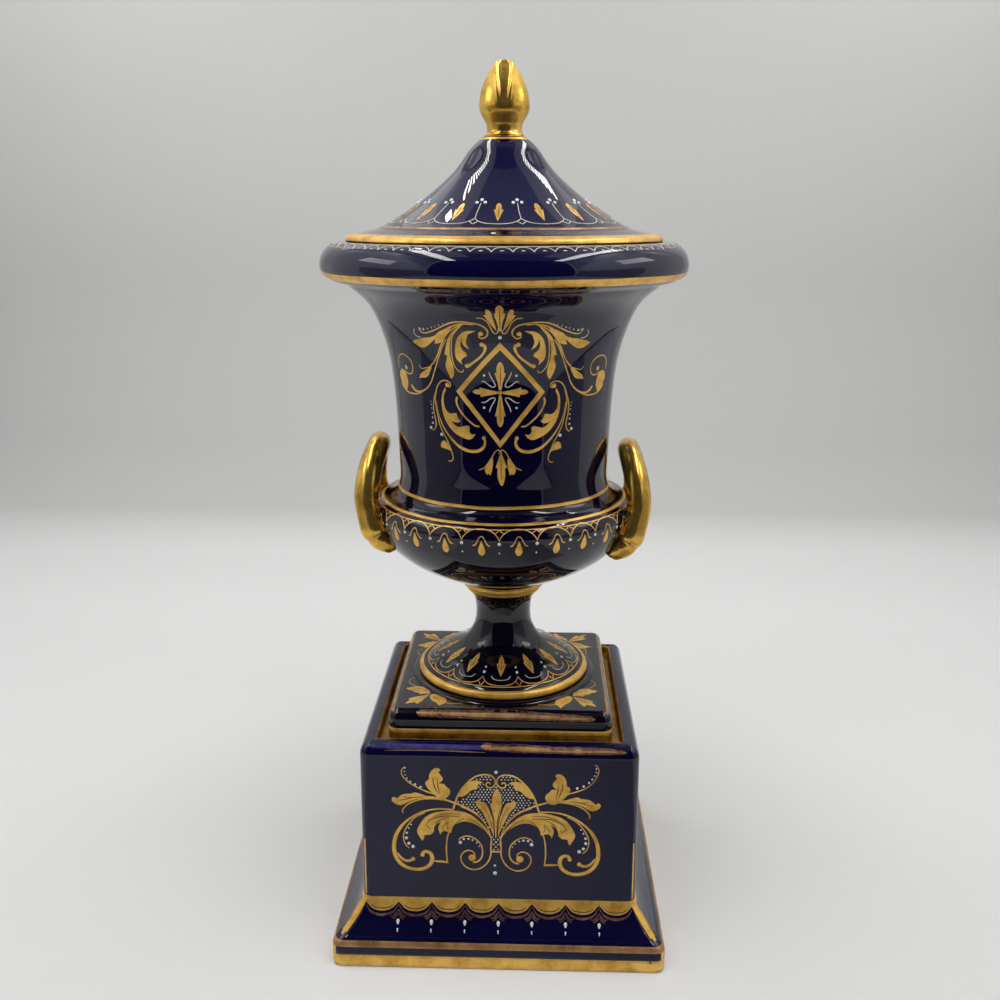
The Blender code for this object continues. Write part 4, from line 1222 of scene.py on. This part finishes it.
CORNER_SPRAY = (
    ("leaf", ((17.1, -16.3, 1), (17.3, -14.4), (18.4, -12.7), (20.2, -12.2), (21.6, -12.6),
     (23.0, -13.2, 1), (22.6, -14.0), (21.3, -14.6, 1), (20.9, -15.3), (19.8, -15.8),
     (19.4, -16.6, 1), (18.2, -16.2))),
    ("leaf", ((17.1, -16.7, 1), (18.0, -18.8), (18.6, -20.4, 1), (19.5, -21.9, 1), (20.2, -21.0, 1),
     (21.3, -21.3), (22.3, -22.0, 1), (21.9, -20.6), (21.2, -19.9, 1), (21.9, -19.2, 1),
     (20.6, -18.3), (18.8, -17.5))),
    ("leaf", ((16.8, -16.9, 1), (15.6, -16.2), (14.0, -17.4), (12.8, -19.4), (12.8, -21.2, 1),
     (13.4, -21.6), (14.0, -23.0, 1), (14.7, -21.7), (15.2, -20.8, 1), (16.1, -20.0),
     (16.8, -18.4))),
    ("vein", (0.1, 0.2, 0.1), ((17.6, -15.4), (18.8, -14.0), (20.6, -13.4))),
    ("vein", (0.1, 0.2, 0.1), ((17.8, -17.5), (19.2, -19.0), (20.6, -20.4))),
    ("vein", (0.1, 0.2, 0.1), ((16.2, -17.8), (15.0, -19.2), (14.2, -20.8))),
    ("line", (0.3, 0.22, 0.16), ((20.5, -12.3), (21.8, -11.2), (22.7, -9.8), (22.5, -8.2),
     (21.7, -7.0))),
    ("line", (0.26, 0.2, 0.16), ((12.8, -21.0), (11.4, -21.4), (10.0, -21.2), (8.8, -21.4))),
)


# where the gilt line is rubbed on the rolled front edge of the foot plate
PLATE_WEAR = ((-19.4, 58.4), (-13.0, 58.25), (-8.0, 58.2), (-2.0, 58.1), (4.0, 58.05),
              (10.0, 57.9), (16.0, 57.75), (22.0, 57.6))
# round a square by its back, from the middle of the front right corner to the front left one's
BY_THE_BACK = [(3 * QUARTER + CORNER_STEPS // 2, 6 * QUARTER + CORNER_STEPS // 2)]


def decorate_urn():
    """The ornament of the body, front and back, and the bands of all the turned parts."""
    shape, beads = Shape(), Shape()
    front = Turned(WALL_RUN, 25.5)
    paint_both(shape, beads, front, RHOMBUS)
    paint(shape, beads, front, FLEURON)
    paint_both(shape, beads, front, FLEURON_SIDE)
    paint_both(shape, beads, front, BODY)
    paint(shape, beads, front, BODY_MIDDLE)
    back = Turned(WALL_RUN, 25.5, None, 180.0)
    for drawing in (RHOMBUS, FLEURON_SIDE, PLAIN_BACK):
        paint_both(shape, beads, back, drawing)
    paint(shape, beads, back, FLEURON + BODY_MIDDLE)
    waist = Turned(SHOULDER_RUN[6:] + WALL_RUN[:30], 25.0, 107.4)
    shape.band(waist, -0.35, 0.4, GOLD, 0.06, 3, 0.05, 6.0)
    bowl_band(shape, beads)
    foot_band(shape, beads)
    lip_band(shape, beads)
    shape.band(Turned(BEAD_RUN, 20.0, 60.5), -0.75, 1.6, GOLD, 0.05, 8, 0.06, 7.0)
    collar = Turned(STEM_RUN[-8:] + COLLAR_RUN, 10.0, 81.6)
    shape.band(collar, -0.9, 1.95, GOLD, 0.05, 7, 0.06, 8.0)
    for quarter, flip in ((0, 1), (0, -1), (1, 1), (2, 1)):
        paint(shape, beads, Top(PLATE_TOP, quarter, flip), CORNER_SPRAY)
    plate_run = [(PLATE_HALF, PLATE_BOTTOM + 0.3)] + PLATE_ROLL
    # the plate band's lower part, inside the plinth's recess, takes the darker gold of painted
    # shade
    for low, high, kind, lift, columns, spans in (
            (0.1, 1.9, RECESS_SHADE, 0.05, 2, None), (1.9, 3.15, GOLD, 0.05, 2, None),
            (6.9, 7.7, COPPER, 0.04, 3, BY_THE_BACK)):
        shape.square_band(plate_run, PLATE_CORNER, low, high, kind, lift, columns, spans,
                          PLATE_HALF)
    edge = Side(plate_run, 0)
    shape.streak(edge, PLATE_WEAR, (1.3, 1.5, 1.7, 1.7, 1.6, 1.4, 1.0), HAZE, 0.03)
    shape.streak(edge, PLATE_WEAR, (0.5, 0.6, 0.75, 0.8, 0.75, 0.6, 0.3), COPPER, 0.05)
    make_ornament(shape, beads, "urn")

# ---------------------------------------------------------------- lid

LID_RADIUS, LID_SEAT, EDGE_TOP = 35.85, 164.0, 165.2
LID_BAYS, LID_SPIN, CONE_RADIUS = 16, -1.4, 24.0
BUD_PETALS, PETALS_FROM = 4, 190.4

EDGE_CURVE = [(34.9, LID_SEAT), (35.5, LID_SEAT - 0.08), (LID_RADIUS, LID_SEAT - 0.02),
              (LID_RADIUS + 0.05, LID_SEAT + 0.25), (35.8, LID_SEAT + 0.65),
              (35.5, EDGE_TOP - 0.22), (35.0, EDGE_TOP - 0.02), (34.3, EDGE_TOP + 0.08)]
CONE_RUN = through([(33.2, 165.6), (31.0, 166.0), (27.3, 167.2), (19.7, 171.9), (11.9, 178.3),
                    (7.6, 183.7), (5.0, 186.2)], 12)
BUD_RUN = through([(4.35, 186.42), (4.35, 186.7), (4.1, 187.0), (3.9, 187.45), (3.9, 188.0)], 4)
BUD_RUN += through([(4.05, 189.0), (4.75, 190.2), (5.45, 191.6), (5.63, 192.9), (5.3, 195.5),
                    (4.7, 197.4), (3.9, 199.2), (2.9, 200.9), (1.9, 202.1), (1.0, 202.75),
                    (0.0, 203.0)], 8)
LID_INSIDE = through([(0.0, 183.4), (4.6, 182.0), (9.4, 177.2), (15.4, 171.2), (22.0, 166.4),
                      (29.2, 163.4)], 8)
FLANGE = [(30.9, 162.6), (30.5, 162.0), (30.5, 160.0), (30.8, 159.6), (32.5, 159.6),
          (32.8, 159.9), (32.8, 163.6), (33.1, LID_SEAT)]


def bud_warp(r, z, angle):
    """Petals that part from half way up: a channel with raised lips between each two."""
    if z < PETALS_FROM:
        return r, z
    up = min(1.0, max(0.0, (z - 192.0) / 10.0))
    petal = math.tau / BUD_PETALS
    across = abs(math.remainder(angle, petal)) * max(r, 0.6)
    half = (0.3 + 1.5 * up ** 0.6) * min(1.0, 0.25 + r / 3.4)
    depth = 0.55 * min(1.0, up * 2.4)
    inner = 1.0 / (1.0 + math.exp((across - half) / 0.16))
    lips = math.exp(-((across - half - 0.34) / 0.36) ** 2)
    keel = math.exp(-(abs(math.remainder(angle + math.pi / BUD_PETALS, petal)) / 0.22) ** 2)
    shift = -depth * inner + 0.16 * lips * min(1.0, up * 2.5) + 0.03 * keel * up
    lift = 0.9 * lips * max(0.0, up - 0.6) - 1.6 * inner * max(0.0, up - 0.75)
    scale = min(1.0, r / 1.6)
    dip = 0.9 * math.exp(-(r / 0.9) ** 2) * up
    return max(0.02, r + shift * scale), z + lift * scale - dip


def build_lid():
    """The hollow lid with its locating flange, and the gilt bud in one with it."""
    profile = LID_INSIDE + FLANGE + EDGE_CURVE + CONE_RUN + BUD_RUN
    bare_from = len(LID_INSIDE) + 1
    bare_to = len(LID_INSIDE) + len(FLANGE)
    gilt_from = len(profile) - len(BUD_RUN) - 1

    def kind_of_row(k):
        if k >= gilt_from:
            return GILT
        return BISQUE if bare_from <= k < bare_to else GLAZE

    shape = Shape()
    shape.lathe(profile, kind_of_row, bud_warp)
    obj = shape.make("lid_porcelain", "lid", (glaze, thick_gold, bisque), "cobalt_porcelain", 45)
    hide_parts("lid")


# a small chip in the glaze in front
CHIP = ((-0.95, -2.75, 1), (-1.4, -3.2), (-1.3, -3.9), (-0.85, -4.1), (-0.6, -3.6), (-0.62, -3.0))


def decorate_lid():
    """Leaves over enamel arches round the cone, dotted stems between, and the gilt lines."""
    shape, beads = Shape(), Shape()
    cone = Turned(CONE_RUN, CONE_RADIUS, 167.2, LID_SPIN)
    bay = math.tau * CONE_RADIUS / LID_BAYS
    for k in range(LID_BAYS):
        m = bay * k
        a, b = m - bay / 2, m + bay / 2
        paint(shape, beads, cone, (
            ("leaf", mirrored(m, ((0, 2.45, 1), (0.4, 4.0), (0.8, 5.5), (1.15, 6.8, 1),
                                  (0.65, 6.6, 1), (0.68, 8.0), (0.3, 8.9)))),
            ("vein", VEIN, ((m, 3.8), (m + 0.08, 5.8), (m, 8.0))),
            ("pale", 0.22, swag(a, b, ((0, 3.5), (0.45, 2.8), (1.2, 2.15), (2.4, 1.55)),
                                (m, 1.28))),
            ("pale", 0.2, mirrored(b, ((0.9, 2.2), (0.4, 1.75), (0, 1.25)))),
            ("pale", (0.18, 0.2, 0.24), ((b, 3.5), (b - 0.1, 6.0), (b, 9.1))),
            ("dots", ((b - 1.1, 9.2, 0.92), (b + 1.1, 9.25, 0.92), (b, 10.1, 0.98))),
        ))
    shape.band(cone, -1.1, -0.15, COPPER, 0.05, 2, 0.04, 9.0)
    neck = Turned(CONE_RUN[-12:], 6.0, CONE_RUN[-1].y)
    shape.band(neck, -1.0, -0.35, GOLD, 0.05, 2, 0.03, 9.0)
    rim = Turned(EDGE_CURVE + CONE_RUN[:14], 36.0, LID_SEAT + 0.36)
    shape.band(rim, -0.5, 3.1, GOLD, 0.05, 10, 0.06, 10.0)
    beads.leaf(Turned(CONE_RUN, CONE_RADIUS, 167.2), CHIP, WHITE, 0.02, 0.25, 0.4)
    make_ornament(shape, beads, "lid")


build_plinth()
decorate_plinth()
build_urn()
for side in HANDLES:
    build_handle(side)
decorate_urn()
build_lid()
decorate_lid()

# ---------------------------------------------------------------- studio, in metres

SWEEP_Y, SWEEP_R = 0.262, 0.135      # where the floor starts to curve up, and its radius
SWEEP_STEPS, SWEEP_WIDE, SWEEP_NEAR, SWEEP_TOP = 16, 1.6, -1.2, 0.9
TENT_X, TENT_Y, TENT_Z = 0.28, 0.295, 0.57
ROOF_X, ROOF_Y = 0.42, 0.45
# kinds of ray that pass by a piece of the studio
NOT_SEEN = ("camera",)
GLOSS_ONLY = ("camera", "diffuse", "shadow")
# where each side wall stands, and where its bright strip starts
SIDE_GLOW = {"left": (-TENT_X, -0.115), "right": (TENT_X, -0.075)}
# the back's bright cards: x from, x to, foot and glow
BACK_GLOW = ((-0.3, -0.17, 0.36, 1.25), (0.19, 0.3, 0.45, 1.1))
# the roof's parts: x from, x to, y from, y to, height over the tent's and glow
ROOF = (("middle", -0.11, 0.13, -0.03, ROOF_Y, 0.0, 0.26),
        ("left", -ROOF_X, -0.11, -0.16, 0.33, 0.0, 0.6),
        ("right", 0.13, ROOF_X, -0.16, 0.33, 0.0, 0.6),
        ("far_left", -ROOF_X, -0.11, 0.33, ROOF_Y, 0.0, 0.8),
        ("far_right", 0.13, ROOF_X, 0.33, ROOF_Y, 0.0, 0.8),
        ("front", -ROOF_X, ROOF_X, -0.32, -0.03, 0.002, 0.11))
# x at y = 0, how x changes with y, and the number of lamps
LAMP_ROWS = ((-0.195, 0.08, 23), (0.235, -0.05, 28))
LAMP_Y, LAMP_PITCH, LAMP_Z, LAMP_GLOW = -0.28, 0.021, 0.55, 24.0
LAMP_HALF, LAMP_HALF_DEPTH = 0.023, 0.0042
LAST_LAMP = (-0.172, -0.150, 0.26, 0.29)    # behind the left row: x from, x to, y from, y to
# the camera's place, its turns from level and due north, and its lens
CAMERA_PLACE = (0.0074952, -0.254065, 0.170452)
CAMERA_DOWN, CAMERA_LEFT, CAMERA_ROLL = math.radians(14.925), math.radians(1.8865), 0.0014
LENS_MM, SENSOR_MM = 39.08, 36.0


def plain(name, colour, **more):
    """Matt paint of one colour."""
    return Finish(name).shader(Base_Color=(*colour, 1.0), Roughness=0.9, **more)


def glowing(name, strength, colour=(1.0, 1.0, 1.0), sampling="NONE"):
    """A dark surface that glows; only a sampled one is treated as a lamp."""
    made = plain(name, (0.02, 0.02, 0.02), Emission_Color=(*colour, 1.0),
                 Emission_Strength=strength)
    made.cycles.emission_sampling = sampling
    return made


def stage_mesh(name, verts, faces, finish, hidden=()):
    """A mesh of the studio, which some kinds of ray pass by."""
    mesh = bpy.data.meshes.new(name)
    mesh.from_pydata([(x, y, FLOOR + z) for x, y, z in verts], [], faces)
    mesh.materials.append(finish)
    mesh.shade_smooth()
    obj = bpy.data.objects.new(name, mesh)
    bpy.context.scene.collection.objects.link(obj)
    for ray in hidden:
        setattr(obj, "visible_" + ray, False)


def ribbon(name, path, low, high, finish, hidden=NOT_SEEN):
    """An upright screen over a path in plan. The camera looks through it."""
    verts = [(x, y, z) for x, y in path for z in (low, high)]
    faces = [(2 * i, 2 * i + 1, 2 * i + 3, 2 * i + 2) for i in range(len(path) - 1)]
    stage_mesh(name, verts, faces, finish, hidden)


def oblong(x_from, x_to, y_from, y_to, z):
    """The corners of a level oblong."""
    return [(x_from, y_from, z), (x_to, y_from, z), (x_to, y_to, z), (x_from, y_to, z)]


def level_card(name, x_from, x_to, y_from, y_to, z, finish, hidden):
    """A level oblong of the studio."""
    stage_mesh(name, oblong(x_from, x_to, y_from, y_to, z), [(0, 1, 2, 3)], finish, hidden)


def backdrop_paper():
    """Matt paper with painted light and shade: on the floor darker in front and paler towards the
    back, and greyer where it rises behind.
    """
    f = Finish("backdrop_paper")
    y, z = (f.node("SeparateXYZ", axis, Vector=f.place()) for axis in "YZ")
    # painted light and shade: the floor darker in front, lighter towards the back
    level = f.ramp(f.grey(y, -0.05, 0.2), (0.0, (0.685, 0.683, 0.675)),
                   (0.6, (0.785, 0.783, 0.776)), (1.0, (0.85, 0.848, 0.842)))
    # painted shade: the paper greyer where it rises, where less light falls
    upright = f.ramp(f.grey(z, FLOOR, FLOOR + 0.2), (0.06, (0.60, 0.598, 0.592)),
                     (0.2, (0.56, 0.558, 0.552)), (1.0, (0.595, 0.592, 0.584)))
    lift = f.grey(z, FLOOR, FLOOR + 0.012)
    return f.shader(Base_Color=f.node("MixRGB", "Color", Fac=lift, Color1=level, Color2=upright),
                    Roughness=0.9)


def build_sweep():
    """A floor that curves up into the backdrop."""
    path = [(SWEEP_NEAR, 0.0), (0.0, 0.0)]
    for step in range(SWEEP_STEPS + 1):
        angle = math.radians(90 * step / SWEEP_STEPS)
        path.append((SWEEP_Y + SWEEP_R * math.sin(angle), SWEEP_R * (1 - math.cos(angle))))
    path.append((SWEEP_Y + SWEEP_R, SWEEP_TOP))
    verts = [(x, y, z) for y, z in path for x in (-SWEEP_WIDE, SWEEP_WIDE)]
    faces = [(2 * i, 2 * i + 1, 2 * i + 3, 2 * i + 2) for i in range(len(path) - 1)]
    stage_mesh("backdrop", verts, faces, backdrop_paper())


def build_tent():
    """A photographer's tent round the urn: pale sides, a dim roof and a dark open front."""
    cloth = plain("tent_cloth", (0.78, 0.785, 0.79))
    seam = plain("tent_seam", (0.02, 0.02, 0.02))
    shaded = plain("tent_shade", (0.34, 0.34, 0.345))
    strip = glowing("tent_side_glow", 3.2)
    for side, (x, near) in SIDE_GLOW.items():
        inner = x - math.copysign(0.002, x)
        ribbon("tent_" + side, [(x, -TENT_Y), (x, 0.2), (x * 1.28, SWEEP_Y + SWEEP_R + 0.02)],
               0.0, TENT_Z, cloth)
        ribbon("tent_seam_" + side, [(inner * 1.05, 0.266), (inner * 1.055, 0.269)],
               0.0, TENT_Z, seam)
        level_card("tent_hem_" + side, inner, inner * 0.988, -TENT_Y, 0.26, 0.001, seam,
                   NOT_SEEN)
        ribbon("tent_shade_" + side, [(inner, -TENT_Y), (inner, -0.01)], 0.0, 0.2, shaded,
               GLOSS_ONLY)
        ribbon("tent_glow_" + side, [(inner, near), (inner, near + 0.145)], 0.262, 0.345, strip,
               GLOSS_ONLY)
    for x_from, x_to, foot, glow in BACK_GLOW:
        ribbon("tent_back_glow", [(x_from, 0.385), (x_to, 0.385)], foot, 0.565,
               glowing("back_glow_%d" % (100 * glow), glow), GLOSS_ONLY)
    front = -TENT_Y - 0.02
    ribbon("dark_front", [(-TENT_X, front), (TENT_X, front)], 0.0, TENT_Z,
           plain("dark_room", (0.006, 0.006, 0.007)))
    level_card("tent_cover", -ROOF_X, ROOF_X, front, ROOF_Y, TENT_Z + 0.004,
               plain("cover_cloth", (0.5, 0.5, 0.51)), ("camera", "glossy"))
    for name, x_from, x_to, y_from, y_to, over, glow in ROOF:
        level_card("tent_roof_" + name, x_from, x_to, y_from, y_to, TENT_Z + over,
                   glowing("roof_" + name, glow), ("camera", "diffuse"))


def build_front_card():
    """A grey card lying before the plinth, seen only as the shade in its front."""
    f = Finish("front_card")
    across = f.grey(f.node("SeparateXYZ", "X", Vector=f.place()), -0.05, 0.05)
    tone = f.ramp(across, *((place, (level,) * 3)
                            for place, level in ((0.0, 0.46), (0.5, 0.42), (1.0, 0.27))))
    level_card("front_card", -0.09, 0.09, -0.17, -0.043, 0.0006, f.shader(Base_Color=tone),
               GLOSS_ONLY)


def build_lamps():
    """Two rows of small lamps under the roof, seen as bright dashes in the glaze."""
    verts = []
    for near, slant, count in LAMP_ROWS:
        for step in range(count):
            y = LAMP_Y + LAMP_PITCH * step
            x = near + slant * y
            verts += oblong(x - LAMP_HALF, x + LAMP_HALF, y - LAMP_HALF_DEPTH,
                            y + LAMP_HALF_DEPTH, LAMP_Z)
    verts += oblong(*LAST_LAMP, LAMP_Z)
    faces = [tuple(range(i, i + 4)) for i in range(0, len(verts), 4)]
    stage_mesh("lamps", verts, faces,
               glowing("lamp_glow", LAMP_GLOW, (1.0, 0.99, 0.96), "AUTO"), ("camera", "diffuse"))


def area_light(name, place, target, size, power):
    """A soft light between two points over the floor; gloss doesn't show it."""
    data = bpy.data.lights.new(name, "AREA")
    data.shape = "RECTANGLE"
    data.size, data.size_y = size
    data.energy = power
    obj = bpy.data.objects.new(name, data)
    up = Vector((0.0, 0.0, FLOOR))
    obj.location = Vector(place) + up
    obj.rotation_euler = (Vector(target) - Vector(place)).to_track_quat("-Z", "Y").to_euler()
    obj.visible_glossy = False
    bpy.context.scene.collection.objects.link(obj)


def build_camera():
    """The camera close before the urn, looking a little down, as in the photograph."""
    data = bpy.data.cameras.new("camera")
    data.lens, data.sensor_width, data.clip_start = LENS_MM, SENSOR_MM, 0.01
    camera = bpy.data.objects.new("camera", data)
    camera.matrix_world = (Matrix.Translation(CAMERA_PLACE)
                           @ Matrix.Rotation(CAMERA_LEFT, 4, "Z")
                           @ Matrix.Rotation(math.radians(90.0) - CAMERA_DOWN, 4, "X")
                           @ Matrix.Rotation(CAMERA_ROLL, 4, "Z"))
    bpy.context.scene.collection.objects.link(camera)
    bpy.context.scene.camera = camera


build_sweep()
build_tent()
build_front_card()
build_lamps()
for row, (near, _, _) in enumerate(LAMP_ROWS):
    area_light("lamp_row_%d" % row, (near, 0.03, 0.54), (near * 0.85, 0.0, 0.0),
               (0.12, 0.56), 1.0)
area_light("room_fill", (0.0, -0.28, 0.3), (0.0, -0.02, 0.0), (0.5, 0.5), 1.5)
for side in (-1, 1):
    area_light("back_wash_%d" % (side + 1), (0.24 * side, 0.2, 0.42),
               (0.22 * side, 0.42, 0.4), (0.1, 0.1), 0.22)
build_camera()

world = bpy.data.worlds.new("studio")
bpy.context.scene.world = world
world.use_nodes = True
sky = world.node_tree.nodes["Background"]
sky.inputs["Color"].default_value = (0.60, 0.61, 0.62, 1.0)
sky.inputs["Strength"].default_value = 1.0
bpy.context.scene.view_settings.view_transform = "Standard"
